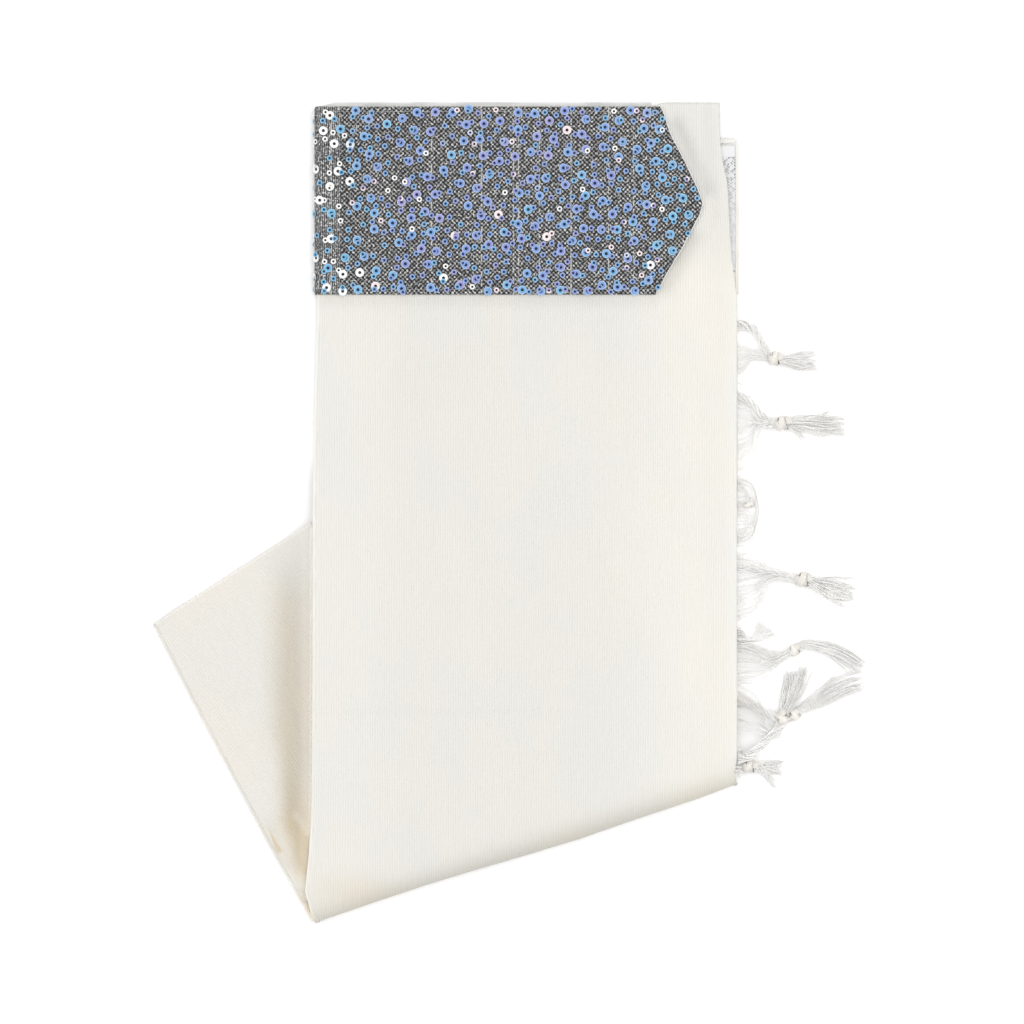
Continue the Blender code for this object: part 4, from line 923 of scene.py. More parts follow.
def makeNeckband():
    angles = spread(-62.0, 90.0, band["wrapRings"] + 1)[:-1]
    edgeRows = [0.0, 0.35, band["edge"]]
    rowsY = [band["lowY"] + step for step in edgeRows]
    rowsY += spread(band["lowY"] + 2.6, band["highY"] - 2.6, band["rows"])
    rowsY += [band["highY"] - step for step in reversed(edgeRows)]
    flatStart = strip["leftEdge"][0][1] + strip["foldRound"]
    shares = spread(0.0, 1.0, band["columns"])
    points, places = [], []
    count = len(angles) + len(shares) + 2
    for k in range(count):
        for y in rowsY:
            edgeY = min(y - band["lowY"], band["highY"] - y)
            drop = bandEdgeDrop(edgeY)
            if k < len(angles):
                turn = math.radians(angles[k])
                half = (strip["height"] - strip["clearance"]) / 2.0
                reach = strip["foldRound"] if angles[k] >= 0 else strip["underRound"]
                # the wrap's outer face lies outside the cloth's fold
                grown = band["lift"] - drop
                x = strip["leftEdge"][0][1] + reach - (reach + grown) * math.cos(turn)
                z = (strip["height"] + strip["clearance"]) / 2.0 + (half + grown) * math.sin(turn)
                places.append((flatStart - (90.0 - angles[k]) / 90.0 * band["wrapCloth"], y))
            else:
                right = lineAt(band["end"], y)
                step = k - len(angles)
                if step < len(shares):
                    x = mix(flatStart, right - 1.4, shares[step])
                else:
                    x = right - (0.45, 0.0)[step - len(shares)]
                z = bandTop(x, y) - drop - bandEdgeDrop(right - x)
                blend = smooth((x - flatStart) / band["wrapBlend"])
                z = mix(strip["height"] + band["lift"] - drop, z, blend)
                places.append((x, y))
            points.append((x, y, z))
    piece = makePiece("neckband_cloth", points, gridFaces(count, len(rowsY)), places,
                      makeBandFinish())
    return giveWall(piece, band["wall"])


neckband = makeNeckband()
print("neckband laid")


# layers that show past the strip: the one above the band, cream cloth painted grey for the shade
# it lies in, and the fringed corner
corner = {"lowY": 117.0, "highY": 200.2, "rightX": 121.5, "under": 8.5, "height": 2.2,
          "round": 3.4}
patch = {"lowY": 128.4, "highY": 196.3, "rightX": 119.4, "plainY": 190.2, "lift": 0.42,
         "wall": 0.5, "lozenge": (0.0021, 0.0016)}
patchColours = {"satin": (0.64, 0.64, 0.65), "paleSatin": (0.67, 0.67, 0.675),
                "ground": (0.62, 0.62, 0.625), "metal": (0.27, 0.275, 0.29)}
greyStrip = {"leftX": -101.0, "rightX": 74.5, "lowY": 214.9, "highY": 219.2, "height": 2.3}


def makeShadedGreyFinish():
    # cream cloth painted grey for the shade it lies in, uneven at random
    finish, tree, shader = newFinish("creamClothInPaintedShade", 0.92)
    weave = useGroup(tree, ribWeave, Place=clothPlace(tree), Rib_Pitch=0.0009)
    shade = mapRange(tree, noiseAt(tree, objectPlace(tree), (60.0, 300.0, 1.0), 3.0), 0.35, 0.65)
    base = mixColour(tree, shade, (0.57, 0.58, 0.565), (0.70, 0.705, 0.695))
    giveLook(tree, shader, base, weave["Height"], 0.00012)
    return finish


def greyPlan(u, v):
    x = mix(greyStrip["leftX"], greyStrip["rightX"], u)
    cornerCut = 1.6 * (1.0 - smooth((x - greyStrip["leftX"]) / 6.0))
    return x, mix(greyStrip["lowY"], greyStrip["highY"] - cornerCut, v)


def makeEdgeLayers(name, planAt, sizes, topInset, seed, wander, height, finish):
    # two layers, the upper one a little further out
    plans = [layerPlan(planAt, sizes, (
        lambda v: 0.2 * k, lambda v: 0.3 * k, lambda u: 0.0,
        lambda u: (topInset, 0.0)[k]), seed + k, wander, 3.0) for k in range(2)]
    return stackLayers(name, plans, finish, lambda x, y: height)


greyLayers = makeEdgeLayers("grey_layers", greyPlan, (175.0, 8.0), 0.5, 31.0, 0.25,
                            greyStrip["height"], makeShadedGreyFinish())


def cornerPlan(u, v):
    y = mix(corner["lowY"], corner["highY"], v)
    left = lineAt(strip["rightEdge"], y) - corner["under"]
    # its top right point is rounded
    into = max(y - corner["highY"] + corner["round"], 0.0) / corner["round"]
    right = corner["rightX"] - corner["round"] * (1.0 - math.sqrt(max(1.0 - into * into, 0.0)))
    return mix(left, right, u), y


cornerLayers = makeEdgeLayers("corner_layers", cornerPlan, (15.0, 83.0), 0.3, 35.0, 0.22,
                              corner["height"], shawlCloth)


def tubeAlong(name, rings, radii, sides, finish, height=1.0):
    # a closed tube through ring centres, flattened by height
    points = []
    for k, centre in enumerate(rings):
        before, after = rings[max(k - 1, 0)], rings[min(k + 1, len(rings) - 1)]
        along = Vector(after) - Vector(before)
        side = along.cross(Vector((0, 0, 1))).normalized()
        up = side.cross(along).normalized()
        for s in range(sides):
            turn = fullTurn * s / sides
            p = Vector(centre) + side * math.cos(turn) * radii[k]
            points.append(tuple(p + up * math.sin(turn) * radii[k] * height))
    return makePiece(name, points, tubeFaces(len(rings), sides), [p[:2] for p in points], finish)


# the rolled hem along the top of the fringed corner
hem = {"leftX": 104.0, "inset": 1.6, "down": 1.9, "lift": 0.25, "radius": 1.25, "uneven": 0.12,
       "flatness": 0.45, "rings": 24, "sides": 14}


def makeCornerHem():
    rings, radii = [], []
    for share in spread(0.0, 1.0, hem["rings"]):
        x = mix(hem["leftX"], corner["rightX"] - hem["inset"], share)
        rings.append((x, corner["highY"] - hem["down"] + 0.15 * math.sin(share * 9.0),
                      corner["height"] + hem["lift"]))
        # thinner where it ends at the corner
        end = mix(0.35, 1.0, smooth((corner["rightX"] - 1.2 - x) / 2.2))
        radii.append((hem["radius"] + hem["uneven"]
                      * noise.noise(Vector((x / 3.0, 0.0, 5.0)))) * end)
    return tubeAlong("corner_hem", rings, radii, hem["sides"], shawlCloth, hem["flatness"])


cornerHem = makeCornerHem()
# painted light on the corner's layers and hem
for thin in (cornerLayers, cornerHem):
    paint(thin, "paintedLight", lambda x, y: 0.35)


def makeBrocadeFinish():
    # silver brocade: small lozenges and dashes of metallic thread under a plain satin strip
    finish, tree, shader = newFinish("silverBrocade", 0.5)
    place = clothPlace(tree)
    x, y, _ = split(tree, place)
    motif = times(tree, *(maths(tree, "SINE", times(tree, way, fullTurn / size))
                          for way, size in zip((x, y), patch["lozenge"])))
    jitter = noiseAt(tree, place, (560.0, 430.0), 3.0)
    mark = mapRange(tree, plus(tree, motif, swing(tree, jitter, 6.5)), 0.25, 0.95)
    plainY = patch["plainY"]
    woven = mapRange(tree, y, plainY * mm, (plainY - 0.7) * mm)
    fade = mapRange(tree, y, plainY * mm, (plainY - 34.0) * mm, 1.0, 0.35)
    mark = times(tree, times(tree, mark, woven), fade)
    satin = mixColour(tree, jitter, patchColours["satin"], patchColours["paleSatin"])
    ground = mixColour(tree, woven, satin, patchColours["ground"])
    base = mixColour(tree, mark, ground, patchColours["metal"])
    link(tree, times(tree, mark, 0.75), shader.inputs["Metallic"])
    link(tree, mapRange(tree, mark, 0.0, 1.0, 0.55, 0.3), shader.inputs["Roughness"])
    giveLook(tree, shader, base, plus(tree, mark, times(tree, jitter, 0.6)), 0.00025)
    return finish


def makeCornerPatch():
    points = []
    rowsY = spread(patch["lowY"], patch["highY"], 60)
    shares = spread(0.0, 1.0, 14)
    for share in shares:
        for y in rowsY:
            left = lineAt(strip["rightEdge"], y) - 6.4
            x = mix(left, patch["rightX"], share)
            edge = min(y - patch["lowY"], patch["highY"] - y, patch["rightX"] - x)
            lift = patch["lift"] + patch["wall"] + 0.12 * noise.noise(Vector((x / 4, y / 7, 3)))
            points.append((x, y, corner["height"] + lift - 0.3 * (1.0 - smooth(edge / 0.9))))
    piece = makePiece("brocade_patch", points, gridFaces(len(shares), len(rowsY)),
                      [p[:2] for p in points], makeBrocadeFinish())
    return giveWall(piece, patch["wall"])


cornerPatch = makeCornerPatch()
print("back layers and patch laid")


# geometry nodes
def newTree(name, inputs):
    return newNodes(name, "GeometryNodeTree", [("Geometry", "Geometry"), *inputs.items()],
                    [("Geometry", "Geometry")])


def addNode(tree, kind, settings=None, **sockets):
    node = tree.nodes.new(kind)
    for key, value in (settings or {}).items():
        setattr(node, key, value)
    for label, value in sockets.items():
        feed(tree, node.inputs[label.replace("_", " ")], value)
    return node


def store(tree, geometry, name, value):
    node = addNode(tree, "GeometryNodeStoreNamedAttribute",
                   {"data_type": "FLOAT", "domain": "POINT"}, Geometry=geometry, Name=name)
    feed(tree, next(s for s in node.inputs if s.name == "Value" and s.enabled), value)
    return node.outputs[0]


def finishTree(tree, out, geometry, finish):
    real = addNode(tree, "GeometryNodeRealizeInstances", Geometry=geometry)
    dressed = addNode(tree, "GeometryNodeSetMaterial", Geometry=real.outputs[0])
    link(tree, finish, dressed.inputs["Material"])
    link(tree, dressed.outputs[0], out[0])


def growFrom(source, tree, values, name):
    # run the tree on the source, keep the result as a plain mesh, and drop the source
    modifier = source.modifiers.new("grow", "NODES")
    modifier.node_group = tree
    for item in tree.interface.items_tree:
        if item.item_type == "SOCKET" and item.in_out == "INPUT" and item.name in values:
            modifier[item.identifier] = values[item.name]
    bpy.context.view_layer.update()
    depsgraph = bpy.context.evaluated_depsgraph_get()
    mesh = bpy.data.meshes.new_from_object(source.evaluated_get(depsgraph),
                                           depsgraph=depsgraph)
    mesh.name = name
    mesh.shade_smooth()
    piece = bpy.data.objects.new(name, mesh)
    scene.collection.objects.link(piece)
    bpy.data.objects.remove(source, do_unlink=True)
    return piece


def makeSequinTree():
    tree, given, out = newTree("sewnSequins", {
        "Sequin": "Object", "Spacing": "Float", "Density": "Float", "Share": "Float",
        "Seed": "Int", "Lift": "Float", "Tilt": "Float", "Spin": "Float", "Finish": "Material"})
    scatter = addNode(tree, "GeometryNodeDistributePointsOnFaces",
                      {"distribute_method": "POISSON"}, Mesh=given["Geometry"],
                      Distance_Min=given["Spacing"], Density_Max=given["Density"],
                      Density_Factor=given["Share"], Seed=given["Seed"])
    chance = addNode(tree, "FunctionNodeRandomValue", {"data_type": "FLOAT"})
    link(tree, given["Seed"], chance.inputs["Seed"])
    points = store(tree, scatter.outputs["Points"], "sequinTint", chance.outputs[1])
    place = addNode(tree, "GeometryNodeInputPosition").outputs[0]
    points = store(tree, points, "sequinX", split(tree, place)[0])
    # each is tilted a little either way, and turned about its own middle
    lean = times(tree, given["Tilt"], -1.0)
    low = addNode(tree, "ShaderNodeCombineXYZ", X=lean, Y=lean)
    high = addNode(tree, "ShaderNodeCombineXYZ", X=given["Tilt"], Y=given["Tilt"],
                   Z=given["Spin"])
    tilt = addNode(tree, "FunctionNodeRandomValue", {"data_type": "FLOAT_VECTOR"})
    link(tree, low.outputs[0], tilt.inputs[0])
    link(tree, high.outputs[0], tilt.inputs[1])
    turn = addNode(tree, "FunctionNodeRotateRotation", {"rotation_space": "LOCAL"},
                   Rotation=scatter.outputs["Rotation"], Rotate_By=tilt.outputs[0])
    shape = addNode(tree, "GeometryNodeObjectInfo", Object=given["Sequin"])
    placed = addNode(tree, "GeometryNodeInstanceOnPoints", Points=points,
                     Instance=shape.outputs["Geometry"], Rotation=turn.outputs[0])
    up = addNode(tree, "ShaderNodeCombineXYZ", Z=given["Lift"])
    lifted = addNode(tree, "GeometryNodeTranslateInstances", Instances=placed.outputs[0],
                     Translation=up.outputs[0])
    finishTree(tree, out, lifted.outputs[0], given["Finish"])
    return tree


def makeSequinShape(radius, hole, cup, sides, thick=0.13):
    # a flat ring, a little cupped, with a few dozen faces; ring runs 0 at the hole to 1 at the rim
    dark = radius * 0.2 + 0.3
    section = [(hole, -thick, 0.0), (hole, 0.0, 0.0), (dark, cup * 0.1, 0.2),
               (dark + 0.16, cup * 0.2, 0.55), (radius, cup, 1.0), (radius, cup - thick, 1.0)]
    points, faces, rings = [], [], []
    n = len(section)
    for s in range(sides):
        turn = fullTurn * s / sides
        points += [(r * math.cos(turn), r * math.sin(turn), z) for r, z, _ in section]
        rings += [ring for _, _, ring in section]
        a, b = s * n, (s + 1) % sides * n
        faces += [(a + (k + 1) % n, b + (k + 1) % n, b + k, a + k) for k in range(n)]
    shape = makePiece("shape", points, faces)
    shape.data.set_sharp_from_angle(angle=math.radians(50))
    for name, values in (("ring", rings), ("side", [p[0] / radius for p in points])):
        shape.data.attributes.new(name, "FLOAT", "POINT").data.foreach_set("value", values)
    return shape


# a sequin's colour, from the share of sequins at which it starts
sequinColours = [
    (0.0, (0.09, 0.32, 0.54)), (0.22, (0.10, 0.25, 0.54)), (0.5, (0.12, 0.215, 0.52)),
    (0.76, (0.15, 0.195, 0.50)), (0.90, (0.19, 0.20, 0.48)), (0.965, (0.27, 0.22, 0.48)),
    (0.975, (0.72, 0.53, 0.54)), (1.0, (0.76, 0.66, 0.62))]
sequinParts = {"cyan": (0.075, 0.36, 0.55), "rosySide": (0.76, 0.61, 0.60),
               "pale": (0.80, 0.775, 0.73), "rim": (0.55, 0.68, 0.80),
               "thread": (0.012, 0.016, 0.04)}


def makeSequinFinish():
    # pearly plastic whose colour changes from one sequin to the next
    finish, tree, shader = newFinish("sequinPearl", 0.32)
    tint, place = attributeAt(tree, "sequinTint"), attributeAt(tree, "sequinX")
    chosen = tree.nodes.new("ShaderNodeValToRGB")
    stops = chosen.color_ramp.elements
    stops.remove(stops[0])
    for k, (at, colour) in enumerate(sequinColours):
        stop = stops[0] if k == 0 else stops.new(at)
        stop.position = at
        stop.color = (*colour, 1.0)
    link(tree, tint, chosen.inputs[0])
    # more cyan towards both ends of the band
    cyan = maths(tree, "MAXIMUM", mapRange(tree, place, 0.055, 0.095),
                 mapRange(tree, place, -0.060, -0.098))
    cyan = times(tree, cyan, mapRange(tree, tint, 0.93, 0.92))
    base = mixColour(tree, times(tree, cyan, 0.7), chosen.outputs[0], sequinParts["cyan"])
    # some show a rosy side next to a blue one
    halves = times(tree, mapRange(tree, tint, 0.935, 0.94),
                   mapRange(tree, attributeAt(tree, "side"), 0.1, -0.35))
    base = mixColour(tree, halves, base, sequinParts["rosySide"])
    # beside the fold many get a painted pale highlight, for light glancing off them where the band
    # turns over
    shine = minus(tree, mapRange(tree, place, -0.0862, -0.0940), tint)
    shine = times(tree, mapRange(tree, shine, -0.46, -0.45), mapRange(tree, tint, 0.42, 0.43))
    base = mixColour(tree, shine, base, sequinParts["pale"])
    ring = attributeAt(tree, "ring")
    base = mixColour(tree, times(tree, mapRange(tree, ring, 0.70, 1.0), 0.40), base,
                     sequinParts["rim"])
    base = mixColour(tree, mapRange(tree, ring, 0.50, 0.22), base, sequinParts["thread"])
    link(tree, base, shader.inputs["Base Color"])
    # the dark thread in the hole is matt
    link(tree, mapRange(tree, ring, 0.25, 0.5, 0.1, 0.65), shader.inputs["Specular IOR Level"])
    link(tree, mapRange(tree, ring, 0.25, 0.5, 0.0, 0.25), shader.inputs["Coat Weight"])
    shader.inputs["Coat Roughness"].default_value = 0.12
    return finish


# shape is radius, hole and cup in millimetres, and number of sides; spacing and lift are in
# metres, density is for each square metre, and tilt and spin are in radians
sewing = {"Density": 90000.0, "Spin": 0.9}
sequins = {
    "large": {"shape": (2.36, 0.15, 0.3, 20), "Spacing": 0.0081, "Share": 0.85, "Seed": 11,
              "Lift": 0.00025, "Tilt": 0.05},
    "small": {"shape": (1.46, 0.13, 0.2, 14), "Spacing": 0.0046, "Share": 0.88, "Seed": 5,
              "Lift": 0.00062, "Tilt": 0.10},
}


def sequinField(radius):
    # the band's outer face, in from its edges so that sequins hardly hang over
    field = neckband.data.copy()
    mesh = bmesh.new()
    mesh.from_mesh(field)
    mesh.normal_update()
    outside = []
    for face in mesh.faces:
        x, y, _ = face.calc_center_median() / mm
        inY = min(y - band["lowY"], band["highY"] - y)
        inX = (lineAt(band["end"], y) - x) * 0.86
        upper = face.normal.z > -0.05 and face.normal.x < 0.4
        if not upper or min(inX, inY) < 0.5 * radius:
            outside.append(face)
    bmesh.ops.delete(mesh, geom=outside, context="FACES")
    mesh.to_mesh(field)
    mesh.free()
    piece = bpy.data.objects.new("field", field)
    scene.collection.objects.link(piece)
    return piece


def makeSequins():
    tree, finish = makeSequinTree(), makeSequinFinish()
    made = []
    for size, facts in sequins.items():
        shape = makeSequinShape(*facts["shape"])
        piece = growFrom(sequinField(facts["shape"][0]), tree,
                         {**sewing, **facts, "Sequin": shape, "Finish": finish},
                         size + "_sequins")
        bpy.data.objects.remove(shape, do_unlink=True)
        made.append(piece)
        print(size, "sequins sewn on:", len(piece.data.polygons), "faces")
    return made


largeSequins, smallSequins = makeSequins()


def makeThreadTree():
    # tubes along curves, each point's own radius times Thickness
    tree, given, out = newTree("spunThread", {"Thickness": "Float", "Sides": "Int",
                                              "Finish": "Material"})
    profile = addNode(tree, "GeometryNodeCurvePrimitiveCircle", {"mode": "RADIUS"},
                      Resolution=given["Sides"], Radius=given["Thickness"])
    threads, turned = (
        store(tree, curve, name, addNode(tree, "GeometryNodeSplineParameter").outputs[part])
        for curve, name, part in ((given["Geometry"], "threadLength", "Length"),
                                  (profile.outputs["Curve"], "threadTurn", "Factor")))
    tube = addNode(tree, "GeometryNodeCurveToMesh", Curve=threads, Profile_Curve=turned,
                   Fill_Caps=True)
    if "Scale" in tube.inputs:
        link(tree, addNode(tree, "GeometryNodeInputRadius").outputs[0], tube.inputs["Scale"])
    finishTree(tree, out, tube.outputs[0], given["Finish"])
    return tree


threadTree = makeThreadTree()


def makeThreads(name, paths, thickness, finish, sides=5):
    # each path is a list of (x, y, z, share of thickness) in millimetres
    curve = bpy.data.curves.new(name, "CURVE")
    curve.dimensions = "3D"
    for path in paths:
        spline = curve.splines.new("POLY")
        spline.points.add(len(path) - 1)
        for point, (x, y, z, share) in zip(spline.points, path):
            point.co = (x * mm, y * mm, z * mm, 1.0)
            point.radius = share
    source = bpy.data.objects.new(name + "_lines", curve)
    scene.collection.objects.link(source)
    return growFrom(source, threadTree, {"Thickness": thickness * mm, "Sides": sides,
                                         "Finish": finish}, name)


def makeThreadFinish(name, colour, shade, pitch, through=0.0):
    # plied yarn: the twist of its two plies winds round each thread
    finish, tree, shader = newFinish(name, 0.8, 0.15)
    phase = plus(tree, times(tree, attributeAt(tree, "threadLength"), 1.0 / pitch),
                 times(tree, attributeAt(tree, "threadTurn"), 2.0))
    twist = maths(tree, "SINE", times(tree, phase, fullTurn))
    fibre = noiseAt(tree, objectPlace(tree), (900.0, 900.0, 900.0))
    mask = maths(tree, "ADD", times(tree, twist, 0.35), fibre, clamp=True)
    # painted shade in the grooves between the plies, broken up by fibre noise
    giveLook(tree, shader, mixColour(tree, mask, shade, colour), mask, 0.0001)
    # light goes some way through loose yarn
    shader.inputs["Subsurface Weight"].default_value = through
    shader.inputs["Subsurface Radius"].default_value = (1.0, 1.0, 1.0)
    shader.inputs["Subsurface Scale"].default_value = 0.0008
    return finish


fringeYarn = makeThreadFinish("fringeYarn", (0.965, 0.955, 0.930), (0.905, 0.894, 0.868), 0.0016,
                              0.17)
# the knots' yarn is the fringe's yarn painted darker and warmer, for the shade inside the knots
knotYarnInShade = makeThreadFinish("knotYarnInShade", (0.83, 0.81, 0.77), (0.74, 0.715, 0.66), 0.0016)
whiteThread = makeThreadFinish("whiteThread", (0.74, 0.74, 0.73), (0.62, 0.62, 0.61), 0.0012)
greyThread = makeThreadFinish("greyThread", (0.42, 0.42, 0.42), (0.30, 0.30, 0.30), 0.0012)


# sewing along the band's long edges, and the pale piping round its end
stitch = {"pitch": 2.3, "length": 1.7, "inset": 2.7, "startX": -98.0, "stopX": (79.4, 77.6),
          "rise": [(0.0, -0.12), (0.2, 0.12), (0.8, 0.12), (1.0, -0.12)], "thickness": 0.16}
piping = {"out": 0.22, "lift": 0.75, "wave": 0.1, "steps": 90, "thickness": 0.34, "sides": 8}


def makeBandTrim():
    length, stitches = stitch["length"], []
    rows = (band["highY"] - stitch["inset"], band["lowY"] + stitch["inset"])
    for y, stopX in zip(rows, stitch["stopX"]):
        x = stitch["startX"]
        while x + length < stopX:
            top = bandTop(x + length / 2.0, y)
            stitches.append([(x + length * s, y, top + z, 1.0) for s, z in stitch["rise"]])
            x += stitch["pitch"]
    cord = []
    for share in spread(0.0, 1.0, piping["steps"]):
        y = mix(band["lowY"] + 0.1, band["highY"] - 0.1, share)
        z = strip["height"] + piping["lift"] + piping["wave"] * math.sin(share * 70.0)
        cord.append((lineAt(band["end"], y) + piping["out"], y, z, 1.0))
    return (makeThreads("band_stitches", stitches, stitch["thickness"], greyThread),
            makeThreads("band_piping", [cord], piping["thickness"], whiteThread,
                        piping["sides"]))


bandStitches, bandPiping = makeBandTrim()
print("band sewn")


# the fringe: each tassel's threads leave the cloth's edge, meet in a knot and fray out
fringe = {"edgeX": 120.0, "rootX": 119.6, "thickness": 0.22, "tailSteps": 19, "fanSteps": 34,
          "bundleSteps": 22, "floor": 0.35, "crimp": 4.2, "finer": 0.76, "perLock": 6,
          "bundleTurns": 1.2}
# roots: fan (high y, low y, threads, reach before the knot) and twisted bundles through points
# tails: end points of each strand group, with its threads and its width at the tip
tassels = [
    {"name": "tassel_1", "knot": (140.7, 82.2), "angle": -8.0, "size": (4.0, 3.9),
     "fans": [(90.0, 72.4, 15, 9.0)],
     "bundles": [([(119.8, 100.0), (124.5, 100.0), (129.6, 97.6), (133.6, 90.6)], 22, 1.9)],
     "tails": [([(152.0, 80.6), (164.6, 79.6)], 69, 10.5)]},
    {"name": "tassel_2", "knot": (144.7, 47.5), "angle": 4.0, "size": (4.8, 4.0),
     "fans": [(60.0, 21.6, 29, 9.0)],
     "bundles": [([(119.8, 62.6), (124.5, 61.0), (129.0, 57.6), (135.0, 51.0)], 16, 1.5)],
     "tails": [([(157.0, 47.9), (169.0, 46.6), (181.2, 45.7)], 63, 10.0),
               ([(154.0, 50.6), (163.0, 50.8), (171.8, 54.4)], 10, 2.0),
               ([(151.0, 44.6), (157.0, 37.0)], 12, 2.6),
               ([(152.0, 45.6), (160.0, 42.6), (169.5, 39.6)], 10, 2.6)]},
    {"name": "tassel_4", "knot": (155.9, -36.0), "angle": -8.0, "size": (4.9, 4.2),
     "fans": [(-21.6, -57.9, 33, 14.0)],
     "bundles": [([(119.8, -29.0), (130.0, -30.0), (141.0, -32.6)], 12, 1.3)],
     "tails": [([(166.0, -39.0), (175.5, -41.8), (184.8, -43.4)], 79, 12.5),
               ([(163.0, -40.2), (171.5, -46.6), (179.8, -51.6)], 10, 2.4)]},
    {"name": "tassel_5", "knot": (151.1, -73.7), "angle": 30.0, "size": (3.3, 3.2),
     "fans": [(-68.0, -92.0, 24, 11.0)],
     "bundles": [([(119.8, -70.5), (129.0, -71.8), (140.0, -75.4)], 12, 1.4)],
     "tails": [([(156.6, -70.2), (166.9, -72.4), (178.1, -76.8), (189.6, -84.8)], 66, 7.6),
               ([(162.0, -71.8), (174.0, -79.8), (183.0, -87.8)], 8, 2.0)]},
    {"name": "tassel_6", "knot": (151.4, -108.2), "angle": 43.0, "size": (3.2, 3.0),
     "fans": [],
     "bundles": [([(120.6, -131.4), (126.4, -130.2), (133.0, -125.0), (140.2, -117.6),
                   (146.4, -112.0)], 28, 1.9)],
     "tails": [([(160.5, -103.4), (170.6, -97.0), (180.2, -91.8), (191.0, -89.6)], 76, 10.4),
               ([(158.5, -101.0), (167.0, -92.4), (176.0, -84.3)], 8, 1.6)]},
    {"name": "tassel_7", "knot": (144.4, -109.7), "angle": 66.0, "size": (3.6, 3.4),
     "fans": [(-92.0, -118.0, 19, 7.0)],
     "bundles": [([(119.8, -100.6), (128.0, -102.0), (137.0, -107.4)], 20, 1.8)],
     "tails": [([(146.4, -101.0), (148.6, -92.0), (149.4, -83.6)], 50, 7.6),
               ([(149.6, -101.4), (153.8, -92.6), (157.2, -80.8)], 50, 7.6)]},
    {"name": "tassel_8", "knot": (127.2, -135.8), "angle": -10.0, "size": (4.4, 3.6),
     "fans": [(-126.5, -142.5, 18, 2.2)],
     "bundles": [],
     "tails": [([(136.0, -135.2), (146.8, -134.4)], 18, 4.4),
               ([(136.0, -137.4), (146.4, -140.4)], 16, 3.6),
               ([(134.5, -139.0), (142.4, -148.2)], 16, 3.4)]},
]


def runAlong(points):
    # how far along its line each point is
    steps = np.linalg.norm(np.diff(points, axis=0), axis=1)
    return np.concatenate([[0.0], np.cumsum(steps)])


def routeThrough(points, count):
    # evenly spaced points on a smooth curve through the given ones
    given = [np.array(p, float) for p in points]
    given = [2.0 * given[0] - given[1]] + given + [2.0 * given[-1] - given[-2]]
    fine = []
    for k in range(1, len(given) - 2):
        a, b, c, d = given[k - 1:k + 3]
        for t in spread(0.0, 1.0, 13)[:-1]:
            fine.append(0.5 * (2 * b + (c - a) * t + (2 * a - 5 * b + 4 * c - d) * t * t
                               + (3 * b - a - 3 * c + d) * t**3))
    fine = np.array(fine + [given[-2]])
    run = runAlong(fine)
    wanted = np.linspace(0.0, run[-1], count)
    return np.stack([np.interp(wanted, run, fine[:, axis]) for axis in (0, 1)], 1)


def acrossRoute(route):
    # a unit vector across the route at each of its points
    along = np.gradient(route, axis=0)
    along /= np.maximum(np.linalg.norm(along, axis=1, keepdims=True), 1e-6)
    return np.stack([-along[:, 1], along[:, 0]], 1)


def crimped(route, dice):
    # the weave leaves its waves in a thread pulled out of it
    run = runAlong(route)
    size, phase = dice.uniform(0.14, 0.36), dice.uniform(-0.7, 0.7)
    ends = np.clip(np.minimum(run, run[-1] - run) / 3.0, 0.0, 1.0)
    waves = size * ends * np.sin(run * 2.0 * math.pi / fringe["crimp"] + phase)
    return route + acrossRoute(route) * waves[:, None]


def shared(route):
    # each point of a route after its share of the way
    return [(step / (len(route) - 1), x, y) for step, (x, y) in enumerate(route)]


def aboveFloor(z):
    return max(z, fringe["floor"])


def knotFrame(row):
    # the knot's middle, its half length and height, and the ways ahead and across
    turn = math.radians(row["angle"])
    ahead = (math.cos(turn), math.sin(turn))
    return (*row["knot"], *row["size"], ahead, (-ahead[1], ahead[0]))


def fanThreads(row, high, low, count, reach, dice):
    knotX, knotY, half, tall, ahead, side = knotFrame(row)
    paths = []
    for k in range(count):
        share = (k + dice.uniform(0.1, 0.9)) / count
        y = mix(high, low, share)
        across = (0.5 - share) * 1.5 * tall + dice.uniform(-0.3, 0.3)
        entry = (knotX - ahead[0] * half * 0.8 + side[0] * across * 0.62,
                 knotY - ahead[1] * half * 0.8 + side[1] * across * 0.62)
        pull = reach * dice.uniform(0.85, 1.2)
        via = (entry[0] - ahead[0] * pull + side[0] * across * 0.6,
               entry[1] - ahead[1] * pull + side[1] * across * 0.6)
        out = (fringe["edgeX"] + 2.5, y + dice.uniform(-0.3, 0.3))
        # the farther a thread has to come, the more it bows out
        bow = min(abs(y - knotY) / 22.0, 1.0)
        middle = (mix(out[0], via[0], 0.5 + 0.22 * bow),
                  mix(out[1], via[1], dice.uniform(0.40, 0.54) - 0.2 * bow))
        route = routeThrough([(fringe["edgeX"] - 0.8, y), out, middle, via, entry],
                             fringe["fanSteps"])
        route = crimped(route, dice)
        startZ = stripGround(fringe["edgeX"], y) + dice.uniform(0.9, 3.6)
        stopZ, sag = tall * dice.uniform(0.5, 1.5), dice.uniform(0.4, 0.9)
        paths.append([
            (x, yHere, aboveFloor(mix(startZ, stopZ, smooth(t))
                                  - sag * math.sin(math.pi * t) * 0.8), 1.0)
            for t, x, yHere in shared(route)])
    return paths


